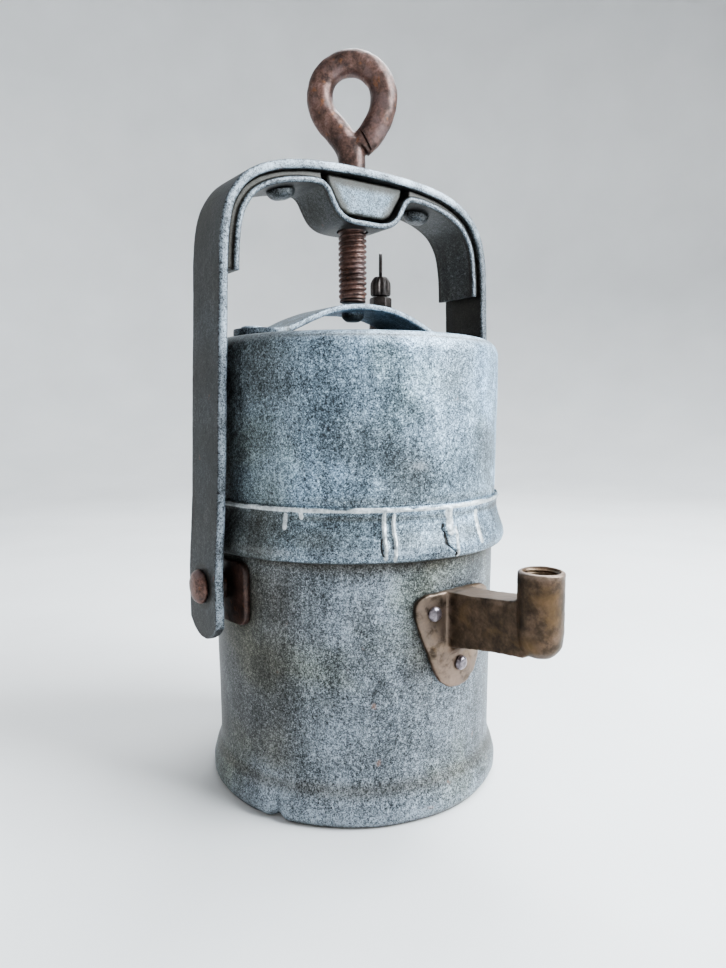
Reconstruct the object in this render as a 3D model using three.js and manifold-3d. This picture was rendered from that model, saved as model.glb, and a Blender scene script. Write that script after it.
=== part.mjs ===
// Two-part carbide lamp: a flat-bottomed carbide pot, a water tank that sits on
// it, and a pivoted yoke whose eye screw presses on a bowed strap on the tank.
//
// Frame: millimetres, +Z up, origin on the pot axis at the underside of the pot.
// +X runs along the yoke pivot axis, -Y is the burner side, +Y is the valve side.

import * as THREE from 'three';
import * as BufferGeometryUtils from 'three/addons/utils/BufferGeometryUtils.js';
import Module from 'manifold-3d';

const wasm = await Module();
wasm.setup();

// ---------------------------------------------------------------- dimensions
const GAP = 0.3;              // clearance between faces that touch
const SEG = 40;               // facets round the large turned shells

// carbide pot
const POT_R_TOP = 48.6;       // just below the collar
const POT_R_LOW = 47.7;       // just above the foot
const POT_RIM_R = 47.9;       // spigot that enters the collar
const POT_RIM_Z = 94.0;
const POT_WALL = 1.6;
const FOOT_R = 50.5;          // rolled foot, largest radius
const FOOT_Z = 4.7;           // height of that radius

// inner carbide tin
const TIN_R = 41.0;
const TIN_TOP = 70.0;
const TIN_WALL = 1.2;

// water tank
const TANK_R_TOP = 49.9;
const TANK_R_LOW = 49.3;
const TANK_TOP = 149.0;
const TANK_LOW = 97.6;
const TANK_WALL = 1.5;
const SHOULDER = 6.5;
const COLLAR_R = 52.8;
const COLLAR_LIP = 81.4;

// pressure strap on the tank
const STRAP_T = 2.0;
const STRAP_HALF_W = 11.0;
const STRAP_END = 44.0;
const STRAP_APEX = 161.0;     // top face
const STRAP_RIVET_X = 38.5;

// yoke
const PIVOT_Z = 71.0;
const YOKE_T = 2.9;
const YOKE_HALF_W = 10.4;
const YOKE_TOP = 204.7;
const ARM_IN_PIVOT = 54.7;    // inner face of an arm at the pivot
const REINF_HALF_W = 9.9;
const REINF_CORE_HALF_W = 8.5;
const REINF_T = 1.9;
const YOKE_RIVET_X = 29.0;

// eye screw
const SCREW_R = 4.9;
const SCREW_PITCH = 1.77;     // rise for one turn, used by the coupled joints
const SCREW_TIP = 163.7;
const FOOT_PAD_Z = 162.2;     // underside of the swivelling pad at the tip
const EYE_Z = 230.3;
const EYE_ROD_R = 4.5;
const EYE_MEAN_R = 10.8;
const EYE_TURN = -35.8;       // degrees the eye is turned from the yoke plane when tight

// pivots
const PIVOT_R = 2.8;
const PIVOT_HEAD_R = 5.5;
const PIVOT_HEAD_H = 3.1;

// burner bracket
const BURNER_AZ = 5.2;        // degrees from -Y towards +X
const TUBE_X = 80.8;          // tube axis from the lamp axis
const TUBE_R = 6.5;
const TUBE_TOP = 82.0;
const TUBE_BORE_R = 5.0;
const ARM_HALF_W = 5.3;

// valve
const VALVE_X = 24.5;
const VALVE_Y = 17.0;

// filler
const FILLER_X = -17.5;
const FILLER_Y = 29.7;

// ------------------------------------------------------------------- helpers
function toSolid(geometry) {
  let g = geometry.clone();
  g.deleteAttribute('normal');
  g.deleteAttribute('uv');
  g = BufferGeometryUtils.mergeVertices(g, 1e-4);
  const p = g.attributes.position.array;
  const src = g.index.array;
  const tri = [];
  let vol = 0;
  for (let i = 0; i < src.length; i += 3) {
    const a = src[i], b = src[i + 1], c = src[i + 2];
    if (a === b || b === c || a === c) continue;
    tri.push(a, b, c);
    const A = a * 3, B = b * 3, C = c * 3;
    vol += p[A] * (p[B + 1] * p[C + 2] - p[B + 2] * p[C + 1])
         - p[A + 1] * (p[B] * p[C + 2] - p[B + 2] * p[C])
         + p[A + 2] * (p[B] * p[C + 1] - p[B + 1] * p[C]);
  }
  if (vol < 0) for (let i = 0; i < tri.length; i += 3) [tri[i], tri[i + 1]] = [tri[i + 1], tri[i]];
  return new wasm.Manifold(new wasm.Mesh({
    numProp: 3, vertProperties: new Float32Array(p), triVerts: new Uint32Array(tri),
  }));
}

function toGeometry(solid) {
  const m = solid.getMesh();
  const g = new THREE.BufferGeometry();
  g.setAttribute('position', new THREE.BufferAttribute(new Float32Array(m.vertProperties), 3));
  g.setIndex(new THREE.BufferAttribute(new Uint32Array(m.triVerts), 1));
  g.computeVertexNormals();
  return g;
}

// Turned solid about +Z from [r, z] points; closes on the axis or on itself.
function turned(points, seg = SEG) {
  const pts = points.map(([r, z]) => new THREE.Vector2(r, z));
  const first = points[0], last = points[points.length - 1];
  if (first[0] > 0 || last[0] > 0) pts.push(new THREE.Vector2(first[0], first[1]));
  const g = new THREE.LatheGeometry(pts, seg);
  g.rotateX(Math.PI / 2);
  return toSolid(g);
}

function ring(r0, r1, z0, z1, seg = 24) {
  return turned([[r0, z0], [r1, z0], [r1, z1], [r0, z1]], seg);
}

function rod(r, z0, z1, seg = 20) {
  const g = new THREE.CylinderGeometry(r, r, z1 - z0, seg);
  g.rotateX(Math.PI / 2);
  g.translate(0, 0, (z0 + z1) / 2);
  return toSolid(g);
}

// Rod whose axis runs along +X, from x0 to x1.
function rodX(r, x0, x1, y, z, seg = 20) {
  const g = new THREE.CylinderGeometry(r, r, x1 - x0, seg);
  g.rotateZ(-Math.PI / 2);
  g.translate((x0 + x1) / 2, y, z);
  return toSolid(g);
}

function box(x0, x1, y0, y1, z0, z1) {
  const g = new THREE.BoxGeometry(x1 - x0, y1 - y0, z1 - z0);
  g.translate((x0 + x1) / 2, (y0 + y1) / 2, (z0 + z1) / 2);
  return toSolid(g);
}

// Outline in the X-Z plane, given depth from y0 to y1.
function slabXZ(outline, y0, y1) {
  const s = new THREE.Shape(outline.map(([x, z]) => new THREE.Vector2(x, z)));
  const g = new THREE.ExtrudeGeometry(s, { depth: y1 - y0, bevelEnabled: false, curveSegments: 1 });
  g.rotateX(Math.PI / 2);      // shape y -> +Z, depth -> -Y
  g.translate(0, y1, 0);
  return toSolid(g);
}

// Outline in the Y-Z plane, given depth from x0 to x1.
function slabYZ(outline, x0, x1) {
  const s = new THREE.Shape(outline.map(([y, z]) => new THREE.Vector2(y, z)));
  const g = new THREE.ExtrudeGeometry(s, { depth: x1 - x0, bevelEnabled: false, curveSegments: 1 });
  g.rotateX(Math.PI / 2);
  g.rotateZ(Math.PI / 2);      // shape x -> +Y, shape y -> +Z, depth -> +X
  g.translate(x0, 0, 0);
  return toSolid(g);
}

const mirrorX = (points) => points.map(([x, z]) => [-x, z]).reverse();

// A symmetric run of points given from the right end to the middle.
const bothSides = (right) => [...right, ...mirrorX(right).filter(([x]) => x !== 0)];

// Offset of an open polyline to its left-hand side.
function offset(line, d) {
  return line.map((p, i) => {
    const a = line[Math.max(i - 1, 0)], b = line[Math.min(i + 1, line.length - 1)];
    const tx = b[0] - a[0], tz = b[1] - a[1], l = Math.hypot(tx, tz);
    return [p[0] - (tz / l) * d, p[1] + (tx / l) * d];
  });
}

const MATERIAL = {
  zinc: new THREE.MeshStandardMaterial({ color: 0x7d8689, roughness: 0.55, metalness: 0.75 }),
  dark_zinc: new THREE.MeshStandardMaterial({ color: 0x565b5a, roughness: 0.65, metalness: 0.7 }),
  rust: new THREE.MeshStandardMaterial({ color: 0x5d3f33, roughness: 0.75, metalness: 0.5 }),
  brass: new THREE.MeshStandardMaterial({ color: 0x6f5e46, roughness: 0.5, metalness: 0.8 }),
  rubber: new THREE.MeshStandardMaterial({ color: 0x2a2725, roughness: 0.9, metalness: 0.0 }),
  tin: new THREE.MeshStandardMaterial({ color: 0x8c8f8e, roughness: 0.5, metalness: 0.8 }),
};

const lamp = new THREE.Group();
function add(name, solid, material) {
  const mesh = new THREE.Mesh(toGeometry(solid), material);
  mesh.name = name;
  lamp.add(mesh);
  return mesh;
}

// ------------------------------------------------------- shared hole cutters
const az = THREE.MathUtils.degToRad(BURNER_AZ);
// Burner parts are made pointing along +X and turned to face -Y + BURNER_AZ.
const toBurner = (solid) => solid.rotate([0, 0, -90 + BURNER_AZ]);
const FLANGE_RIVETS = [[-10.3, 65.2], [10.3, 65.2], [0.3, 48.2]];
const FLANGE_IN = POT_R_TOP + GAP - 0.1;
const FLANGE_OUT = FLANGE_IN + 2.3;
const gasZ = 62.5;

// Rod through the flange at one rivet, square to the curved wall.
function flangeRod(r, r0, r1, [side, z], seg = 12) {
  return rodX(r, r0, r1, 0, z, seg).rotate([0, 0, THREE.MathUtils.radToDeg(side / 50)]);
}

// --------------------------------------------------------------- carbide pot
{
  const w = POT_WALL;
  let pot = turned([
    [0, 0], [49.2, 0], [50.2, 1.6], [FOOT_R, FOOT_Z], [50.2, 7.2], [49.0, 10.0], [48.0, 12.6],
    [POT_R_LOW, 16], [POT_R_TOP - 0.1, 70], [POT_R_TOP, 80], [POT_RIM_R, 86], [POT_RIM_R, POT_RIM_Z],
    [POT_RIM_R - w, POT_RIM_Z], [POT_RIM_R - w, 86], [POT_R_TOP - w, 80], [POT_R_LOW - w, 16],
    [46.4, 6], [43.6, w], [0, w],
  ]);
  pot = pot.subtract(toBurner(rodX(2.3, 40, 55, 0, gasZ, 16)));
  for (const r of FLANGE_RIVETS) pot = pot.subtract(toBurner(flangeRod(1.6, 42, 55, r)));
  for (const s of [-1, 1]) pot = pot.subtract(rodX(PIVOT_R + GAP, s > 0 ? 40 : -60, s > 0 ? 60 : -40, 0, PIVOT_Z, 20));
  add('carbide_pot', pot, MATERIAL.zinc);
}

// Loose tin that holds the carbide lumps and lifts out with the spent lime.
add('carbide_tin', turned([
  [0, POT_WALL + GAP], [TIN_R - 1.5, POT_WALL + GAP], [TIN_R, POT_WALL + 2], [TIN_R, TIN_TOP],
  [TIN_R - TIN_WALL, TIN_TOP], [TIN_R - TIN_WALL, POT_WALL + GAP + TIN_WALL],
  [0, POT_WALL + GAP + TIN_WALL],
], 36), MATERIAL.tin);

// ------------------------------------------------------------ pivots on pot
for (const [side, s] of [['left', -1], ['right', 1]]) {
  const span = (a, b) => (s > 0 ? [a, b] : [-b, -a]);
  const wallIn = POT_R_TOP - POT_WALL;                       // inner face of the pot wall
  // curved backing pad, riveted flat against the wall
  let pad = ring(POT_R_TOP + GAP, POT_R_TOP + 2.2, 58.5, 79.6, SEG)
    .intersect(box(...span(44, 56), -13, 13, 50, 90))
    .subtract(rodX(PIVOT_R + GAP, ...span(40, 60), 0, PIVOT_Z, 20));
  add('pivot_pad_' + side, pad, MATERIAL.rust);
  add('pivot_spacer_' + side, rodX(5.2, ...span(POT_R_TOP + 2.5, ARM_IN_PIVOT - GAP), 0, PIVOT_Z, 20)
    .subtract(rodX(PIVOT_R + GAP, ...span(40, 60), 0, PIVOT_Z, 20)), MATERIAL.rust);
  add('pivot_washer_' + side, rodX(5.6, ...span(wallIn - 2.3, wallIn - 0.75), 0, PIVOT_Z, 20)
    .subtract(rodX(PIVOT_R + GAP, ...span(40, 60), 0, PIVOT_Z, 20)), MATERIAL.rust);
  // rivet: inner head, shank, domed outer head
  const h = PIVOT_HEAD_H, R = PIVOT_HEAD_R;
  const x1 = ARM_IN_PIVOT + YOKE_T + GAP;
  let rivet = turned([
    [0, wallIn - 4.3], [4.0, wallIn - 4.3], [4.6, wallIn - 3.6], [4.6, wallIn - 2.6], [PIVOT_R, wallIn - 2.6],
    [PIVOT_R, x1], [R, x1], [R * 0.93, x1 + h * 0.38], [R * 0.72, x1 + h * 0.72], [R * 0.4, x1 + h * 0.93], [0, x1 + h],
  ], 20).rotate([0, 90, 0]);
  if (s < 0) rivet = rivet.rotate([0, 0, 180]);
  add('pivot_rivet_' + side, rivet.translate([0, 0, PIVOT_Z]), MATERIAL.rust);
}

// ------------------------------------------------------------ burner bracket
{
  // rounded triangular flange outline in (arc length, z)
  const outline = [
    [-4.5, 71.6], [4.5, 71.6], [12.5, 71.0], [15.6, 69.4], [16.5, 66.6], [16.0, 63.4], [12.9, 55.4], [9.7, 47.6],
    [7.4, 43.6], [4.2, 41.2], [0, 40.5], [-4.2, 41.2], [-7.4, 43.6], [-9.7, 47.6], [-12.9, 55.4], [-16.0, 63.4],
    [-16.5, 66.6], [-15.6, 69.4], [-12.5, 71.0],
  ];
  let flange = slabYZ(outline, 40, 60).intersect(ring(FLANGE_IN, FLANGE_OUT, 30, 90, 72));
  for (const r of FLANGE_RIVETS) flange = flange.subtract(flangeRod(1.6, 42, 55, r));
  // arm seen from the side (x, z); it runs into the elbow under the tube
  const bendX = TUBE_X - 6.5, bendZ = PIVOT_Z, bendR = 13.1;
  const side = [[49.5, 71.3], [49.5, 54.0], [60, 55.6], [68, 57.0], [bendX, bendZ - bendR]];
  for (const a of [18, 36, 54, 72, 90]) {
    const t = THREE.MathUtils.degToRad(a);
    side.push([bendX + bendR * Math.sin(t), bendZ - bendR * Math.cos(t)]);
  }
  side.push([TUBE_X + TUBE_R + 0.1, 74], [TUBE_X - 2, 74], [TUBE_X - TUBE_R + 0.5, 71.2]);
  let arm = slabXZ(side, -ARM_HALF_W, ARM_HALF_W)
    .intersect(box(FLANGE_IN + 0.4, 100, -20, 20, 0, 100));
  // the elbow keeps the round plan of the tube
  arm = arm.subtract(box(TUBE_X, 100, -20, 20, 0, 100));
  const elbow = rod(TUBE_R, 40, TUBE_TOP, 24).translate([TUBE_X, 0, 0])
    .intersect(slabXZ([...side.slice(4, 10), [TUBE_X + TUBE_R + 1, 90], [TUBE_X - TUBE_R - 1, 90], [TUBE_X - TUBE_R - 1, bendZ - bendR]], -20, 20));
  let bracket = flange.add(arm).add(elbow)
    .subtract(ring(30, FLANGE_IN, 30, 90, 72))
    .subtract(rod(TUBE_BORE_R, 68, TUBE_TOP + 5, 20).translate([TUBE_X, 0, 0]))
    .subtract(rod(2.0, gasZ, 70, 12).translate([TUBE_X, 0, 0]))
    .subtract(rodX(2.0, 40, TUBE_X + 0.5, 0, gasZ, 12));
  add('burner_bracket', toBurner(bracket), MATERIAL.brass);
  FLANGE_RIVETS.forEach(([a, z], i) => {
    const x1 = FLANGE_OUT + GAP;
    const rivet = turned([
      [0, 46.0], [1.25, 46.0], [1.25, x1], [2.1, x1], [1.9, x1 + 0.7], [1.2, x1 + 1.15], [0, x1 + 1.3],
    ], 12).rotate([0, 90, 0]).translate([0, 0, z]).rotate([0, 0, THREE.MathUtils.radToDeg(a / 50)]);
    add('flange_rivet_' + (i + 1), toBurner(rivet), MATERIAL.brass);
  });
}

// ---------------------------------------------------------------- water tank
{
  const w = TANK_WALL, s = SHOULDER;
  const out = [[TANK_R_LOW, TANK_LOW], [TANK_R_TOP, TANK_TOP - s - 6]];
  for (const a of [0, 22.5, 45, 67.5, 90]) {
    const t = THREE.MathUtils.degToRad(a);
    out.push([TANK_R_TOP - s + s * Math.cos(t), TANK_TOP - s + s * Math.sin(t)]);
  }
  const si = s - w, inn = [];
  for (const a of [90, 60, 30, 0]) {
    const t = THREE.MathUtils.degToRad(a);
    inn.push([TANK_R_TOP - s + si * Math.cos(t), TANK_TOP - s + si * Math.sin(t)]);
  }
  let shell = turned([...out, [0, TANK_TOP], [0, TANK_TOP - w], ...inn, [TANK_R_TOP - w, TANK_TOP - s - 6], [TANK_R_LOW - w, TANK_LOW]]);
  shell = shell
    .subtract(rod(3.2, 140, 155, 16).translate([VALVE_X, VALVE_Y, 0]))
    .subtract(rod(5.2, 140, 155, 20).translate([FILLER_X, FILLER_Y, 0]));
  for (const x of [-STRAP_RIVET_X, STRAP_RIVET_X]) shell = shell.subtract(rod(2.1, 140, 155, 12).translate([x, 0, 0]));
  add('tank_shell', shell, MATERIAL.zinc);
}
// skirt soldered round the foot of the tank; it drops over the pot rim
add('tank_collar', turned([
  [49.0, 97.3], [50.1, 97.3], [50.5, 96.6], [50.1, 95.8], [50.0, 93.4], [50.7, 90.6], [51.8, 87.8], [52.6, 85.4],
  [COLLAR_R, 84.0], [52.6, 82.6], [51.9, COLLAR_LIP + 0.2], [51.1, COLLAR_LIP], [50.7, 82.4], [51.2, 84.2],
  [50.4, 87.4], [49.2, 90.8], [49.0, 93.4],
]), MATERIAL.zinc);
add('tank_floor', turned([[0, 97.9], [47.4, 97.9], [47.4, 99.3], [0, 99.3]], SEG)
  .subtract(rod(3.2, 90, 105, 16).translate([VALVE_X, VALVE_Y, 0])), MATERIAL.tin);
add('rim_gasket', ring(44.2, 48.6, POT_RIM_Z + GAP, 97.3, SEG), MATERIAL.rubber);

// seat and drip tube below the valve
add('valve_seat', turned([
  [1.2, 84.5], [2.4, 84.5], [2.9, 86], [2.9, 99.6], [5.6, 99.6], [5.6, 101.2], [3.6, 102.6], [2.6, 102.6], [1.2, 100.9],
], 16).translate([VALVE_X, VALVE_Y, 0]), MATERIAL.brass);
add('valve_boss', turned([
  [2.3, 145.5], [2.9, 145.5], [2.9, 149.3], [6.4, 149.3], [6.2, 151.0], [4.2, 157.0], [4.0, 160.4], [2.9, 160.4],
  [2.9, 163.4], [2.0, 163.4], [2.0, 150.0],
], 20).translate([VALVE_X, VALVE_Y, 0]), MATERIAL.brass);
add('gland_packing', ring(1.8, 2.9, 163.7, 165.5, 16).translate([VALVE_X, VALVE_Y, 0]), MATERIAL.rubber);
{
  // six-sided gland nut
  const hex = toSolid(new THREE.CylinderGeometry(4.3, 4.3, 7.4, 6).rotateX(Math.PI / 2).translate(0, 0, 164.5));
  add('gland_nut', hex
    .subtract(rod(3.2, 155, 165.8, 16)).subtract(rod(1.8, 160, 172, 16))
    .translate([VALVE_X, VALVE_Y, 0]), MATERIAL.brass);
}
add('valve_spindle', turned([
  [0, 101.6], [1.5, 104.2], [1.5, 173.2], [0, 173.2],
], 12).translate([VALVE_X, VALVE_Y, 0]), MATERIAL.brass);
{
  // fluted knob, slightly wider at the foot
  const n = 10, pts = [];
  for (let i = 0; i < n * 2; i++) {
    const a = (i / (n * 2)) * Math.PI * 2, r = i % 2 ? 3.35 : 3.9;
    pts.push(new THREE.Vector2(r * Math.cos(a), r * Math.sin(a)));
  }
  const g = new THREE.ExtrudeGeometry(new THREE.Shape(pts), { depth: 7.2, bevelEnabled: false, curveSegments: 1 });
  g.translate(0, 0, 168.7);
  let knob = toSolid(g).intersect(turned([[0, 168.5], [4.0, 168.5], [3.5, 174.4], [2.6, 175.9], [0, 175.9]], 20))
    .subtract(rod(1.8, 160, 173.5, 16));
  // slot that takes the blade
  const blade = box(-4.1, 4.1, -0.55, 0.55, 174.1, 185).rotate([0, 0, 54.2]);
  const slot = box(-5, 5, -0.85, 0.85, 173.8, 185).rotate([0, 0, 54.2]);
  add('valve_knob', knob.subtract(slot).translate([VALVE_X, VALVE_Y, 0]), MATERIAL.dark_zinc);
  const wing = toSolid((() => {
    const s = new THREE.Shape([[-3.4, 174.1], [3.4, 174.1], [5.0, 177.5], [4.4, 181.2], [2.2, 184.2], [0, 185.2],
      [-2.2, 184.2], [-4.4, 181.2], [-5.0, 177.5]].map(([x, z]) => new THREE.Vector2(x, z)));
    const e = new THREE.ExtrudeGeometry(s, { depth: 1.1, bevelEnabled: false, curveSegments: 1 });
    e.rotateX(Math.PI / 2);
    e.translate(0, 0.55, 0);
    return e;
  })()).rotate([0, 0, 54.2]);
  add('valve_wing', wing.translate([VALVE_X, VALVE_Y, 0]), MATERIAL.dark_zinc);
}

// water filler
add('filler_bush', turned([
  [4.4, 145.8], [4.9, 145.8], [4.9, 149.3], [6.8, 149.3], [6.8, 151.2], [4.4, 151.2],
], 24).translate([FILLER_X, FILLER_Y, 0]), MATERIAL.brass);
add('filler_washer', ring(4.4, 6.6, 151.5, 152.5, 24).translate([FILLER_X, FILLER_Y, 0]), MATERIAL.rubber);
add('filler_plug', turned([
  [0, 146.4], [3.7, 146.4], [4.1, 147.0], [4.1, 152.8], [7.0, 152.8], [7.0, 154.0], [6.2, 154.8], [3.4, 155.3], [0, 155.5],
], 24).translate([FILLER_X, FILLER_Y, 0]), MATERIAL.brass);

// ------------------------------------------------------------ pressure strap
{
  const half = [[STRAP_END, 151.3], [34.5, 151.3], [31.5, 152.0], [28, 153.5], [22, 156.3], [15, 158.9], [8, 160.5], [0, STRAP_APEX]];
  const top = bothSides(half);
  const low = bothSides(half.map(([x, z]) => {
    if (x >= 34) return [x, z - STRAP_T];
    const k = x < 1 ? 0 : x / 34, dx = -0.9 * k;
    return [x + dx, z - STRAP_T - (x > 1 && x < 33 ? 0.16 : 0)];
  }));
  let strap = slabXZ([...top, ...low.reverse()], -STRAP_HALF_W, STRAP_HALF_W);
  // rounded ends in plan
  const plan = [];
  for (const [x, y] of [[44, 3.5], [42.6, 7.2], [39.6, 9.9], [35, STRAP_HALF_W]]) plan.push([x, y]);
  const ring4 = [...plan, ...plan.map(([x, y]) => [-x, y]).reverse(), ...plan.map(([x, y]) => [-x, -y]), ...plan.map(([x, y]) => [x, -y]).reverse()];
  const cut = new THREE.ExtrudeGeometry(new THREE.Shape(ring4.map(([x, y]) => new THREE.Vector2(x, y))), { depth: 30, bevelEnabled: false, curveSegments: 1 });
  cut.translate(0, 0, 140);
  strap = strap.intersect(toSolid(cut));
  // pressed cup under the apex that centres the screw
  const cup = turned([[0, 155.9], [2.2, 156.2], [3.4, 157.2], [3.8, 158.6], [3.8, 160.2], [0, 160.2]], 20);
  const seat = turned([[0, 160.1], [2.6, 160.5], [4.2, 161.6], [0, 162]], 20);
  strap = strap.add(cup).subtract(seat);
  for (const x of [-STRAP_RIVET_X, STRAP_RIVET_X]) strap = strap.subtract(rod(2.1, 140, 155, 12).translate([x, 0, 0]));
  add('pressure_strap', strap, MATERIAL.zinc);
  for (const [side, x, h] of [['left', -STRAP_RIVET_X, 0.9], ['right', STRAP_RIVET_X, 2.6]]) {
    add('strap_rivet_' + side, turned([
      [0, 146.9], [1.8, 146.9], [1.8, 151.6], [3.7, 151.6], [3.4, 151.6 + h * 0.5], [2.2, 151.6 + h * 0.88], [0, 151.6 + h],
    ], 16).translate([x, 0, 0]), MATERIAL.zinc);
  }
}

// ---------------------------------------------------------------------- yoke
// Outer face of the bent strip, from the right-hand foot up to the middle.
const yokeOuter = bothSides([
  [ARM_IN_PIVOT + YOKE_T, 52], [ARM_IN_PIVOT + YOKE_T, 78], [56.7, 90], [56.0, 105], [54.9, 140], [54.2, 160],
  [53.9, 171], [53.2, 179.3], [51.8, 186.0], [49.4, 191.0], [45.6, 195.6], [40.0, 199.2],
  [32.4, 201.9], [22.0, 203.7], [10.0, 204.5], [0, YOKE_TOP],
]);
const yokeInner = offset(yokeOuter, YOKE_T);
// Places a solid made about +Z, with its origin on the yoke's outer face, at a
// rivet position square to the sloping strip.
const YOKE_RIVET_Z = 202.5;
const YOKE_RIVET_TILT = 9.8;
const atYokeRivet = (solid, s) => solid.rotate([0, s * YOKE_RIVET_TILT, 0]).translate([s * YOKE_RIVET_X, 0, YOKE_RIVET_Z]);
const reinfOuter = offset(yokeOuter, YOKE_T + 2.0);
{
  let strip = slabXZ([...yokeOuter, ...yokeInner.slice().reverse()], -YOKE_HALF_W, YOKE_HALF_W);
  // blunt pointed feet
  const foot = [[-YOKE_HALF_W - 1, 59.6], [-YOKE_HALF_W, 59.6], [-7.5, 57.0], [-4.0, 55.2], [0, 54.4], [4.0, 55.2], [7.5, 57.0],
    [YOKE_HALF_W, 59.6], [YOKE_HALF_W + 1, 59.6], [YOKE_HALF_W + 1, 40], [-YOKE_HALF_W - 1, 40]];
  strip = strip.subtract(slabYZ(foot, -70, 70));
  strip = strip.subtract(rodX(PIVOT_R + GAP + 0.05, -70, 70, 0, PIVOT_Z, 24));
  strip = strip.subtract(rod(SCREW_R + 0.5, 190, 210, 24));
  for (const s of [-1, 1]) strip = strip.subtract(atYokeRivet(rod(2.3, -10, 5, 12), s));
  add('yoke_strip', strip, MATERIAL.dark_zinc);
}
// Hat-shaped reinforcement inside the yoke: a web with a narrower core behind
// it, open in the middle for the nut block.
const hat = [[19.5, 0], [16.6, -0.4], [14.2, -2.4], [12.2, -6.2], [10.0, -9.0], [7.2, -10.4], [0, -10.9]];
{
  const t = REINF_T;
  // web centre run, right end to the hat wall
  const web = reinfOuter.filter(([x, z]) => z > 167.5 && x > 20.5).concat([[20.5, 199.0]]);
  web.unshift([reinfOuter.find(([x, z]) => z > 160 && x > 0)[0] - 0.15, 167.6]);
  const hatRun = hat.map(([x, dz]) => [x, 199.0 + dz]);
  const outerRun = bothSides([...web, ...hatRun]);
  const innerRun = offset(outerRun, t);
  const webSolid = slabXZ([...outerRun, ...innerRun.slice().reverse()], -REINF_HALF_W, REINF_HALF_W);
  let core = null;
  for (const s of [1, -1]) {
    const c = yokeOuter.filter(([x, z]) => z > 167.5 && x >= 21.9);
    const a = offset([[54.0, 167.5], ...c, [16.6, 204.1]], YOKE_T + GAP);
    const b = offset([[54.0, 167.5], ...c, [16.6, 204.1]], YOKE_T + 3.0);
    let pts = [...a, ...b.reverse()];
    if (s < 0) pts = pts.map(([x, z]) => [-x, z]);
    const k = slabXZ(pts, -REINF_CORE_HALF_W, REINF_CORE_HALF_W);
    core = core ? core.add(k) : k;
  }
  let reinf = webSolid.add(core).subtract(rod(SCREW_R + 0.5, 170, 195, 24));
  for (const s of [-1, 1]) reinf = reinf.subtract(atYokeRivet(rod(2.3, -12, 5, 12), s));
  add('yoke_reinforcement', reinf, MATERIAL.dark_zinc);
}
// nut block held between the hat and the strip
add('nut_block', slabXZ([
  [14.2, 201.0], [14.0, 199.6], [13.2, 197.2], [11.3, 193.6], [9.0, 190.9], [6.8, 189.6], [-6.8, 189.6],
  [-9.0, 190.9], [-11.3, 193.6], [-13.2, 197.2], [-14.0, 199.6], [-14.2, 201.0],
], -7.6, 7.6).subtract(rod(SCREW_R + 0.3, 180, 210, 24)), MATERIAL.dark_zinc);
for (const [side, s] of [['left', -1], ['right', 1]]) {
  add('yoke_rivet_' + side, atYokeRivet(turned([
    [0, -10.1], [2.4, -9.7], [4.1, -8.5], [4.6, -7.2], [2.0, -7.2], [2.0, -0.4], [0, -0.4],
  ], 16), s), MATERIAL.dark_zinc);
}

// ----------------------------------------------------------------- eye screw
{
  const torus = toSolid(new THREE.TorusGeometry(EYE_MEAN_R, EYE_ROD_R, 12, 24).rotateX(Math.PI / 2).translate(0, 0, EYE_Z))
    .rotate([0, 0, EYE_TURN]);
  const shank = turned([
    [0, SCREW_TIP], [SCREW_R - 0.6, SCREW_TIP], [SCREW_R, SCREW_TIP + 0.8], [SCREW_R, 206.5], [4.4, 207.4], [4.4, 219.5], [0, 219.5],
  ], 24);
  let screw = torus.add(shank);
  // blind hole that carries the pad
  screw = screw.subtract(rod(2.0, 160, 168, 12));
  add('eye_screw', screw, MATERIAL.rust);
}
add('screw_foot', turned([
  [0, FOOT_PAD_Z], [3.6, FOOT_PAD_Z], [4.6, FOOT_PAD_Z + 0.5], [4.6, SCREW_TIP - GAP], [1.6, SCREW_TIP - GAP], [1.6, 167.4], [0, 167.4],
], 20), MATERIAL.rust);

export default lamp;
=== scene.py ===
# Carbide lamp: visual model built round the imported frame.
# Everything is laid out in millimetres and scaled to metres when a mesh is made.
import math
from math import sin, cos, pi, radians, atan2, hypot

import bpy
import bmesh
import numpy as np
from mathutils import Vector, Matrix, noise


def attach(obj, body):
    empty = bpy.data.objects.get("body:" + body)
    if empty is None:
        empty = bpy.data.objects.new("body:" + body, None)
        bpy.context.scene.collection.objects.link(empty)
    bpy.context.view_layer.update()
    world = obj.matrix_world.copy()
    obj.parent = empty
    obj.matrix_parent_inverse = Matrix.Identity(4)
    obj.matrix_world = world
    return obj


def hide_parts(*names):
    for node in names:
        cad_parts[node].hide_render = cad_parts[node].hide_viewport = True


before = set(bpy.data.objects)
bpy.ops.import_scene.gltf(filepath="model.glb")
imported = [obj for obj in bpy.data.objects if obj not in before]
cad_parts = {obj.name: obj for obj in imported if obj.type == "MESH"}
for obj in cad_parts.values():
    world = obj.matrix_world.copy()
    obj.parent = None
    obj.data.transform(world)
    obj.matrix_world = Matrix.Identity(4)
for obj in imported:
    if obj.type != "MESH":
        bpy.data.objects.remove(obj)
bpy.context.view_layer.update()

MM = 0.001
SEG = 288


# --------------------------------------------------------------------- helpers
def clamp(x, a, b):
    return max(a, min(b, x))


def smooth(e0, e1, x):
    t = clamp((x - e0) / (e1 - e0), 0.0, 1.0)
    return t * t * (3 - 2 * t)


def npsmooth(e0, e1, x):
    t = np.clip((x - e0) / (e1 - e0), 0.0, 1.0)
    return t * t * (3 - 2 * t)


def nz(x, y, z, s, seed=0.0):
    return noise.noise(Vector((x * s + seed, y * s - seed * 1.7, z * s + seed * 0.6)))


def fbm(x, y, z, s, seed=0.0, octaves=3):
    v, a = 0.0, 1.0
    for k in range(octaves):
        v += a * nz(x, y, z, s * 2 ** k, seed + 11.3 * k)
        a *= 0.5
    return v


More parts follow.
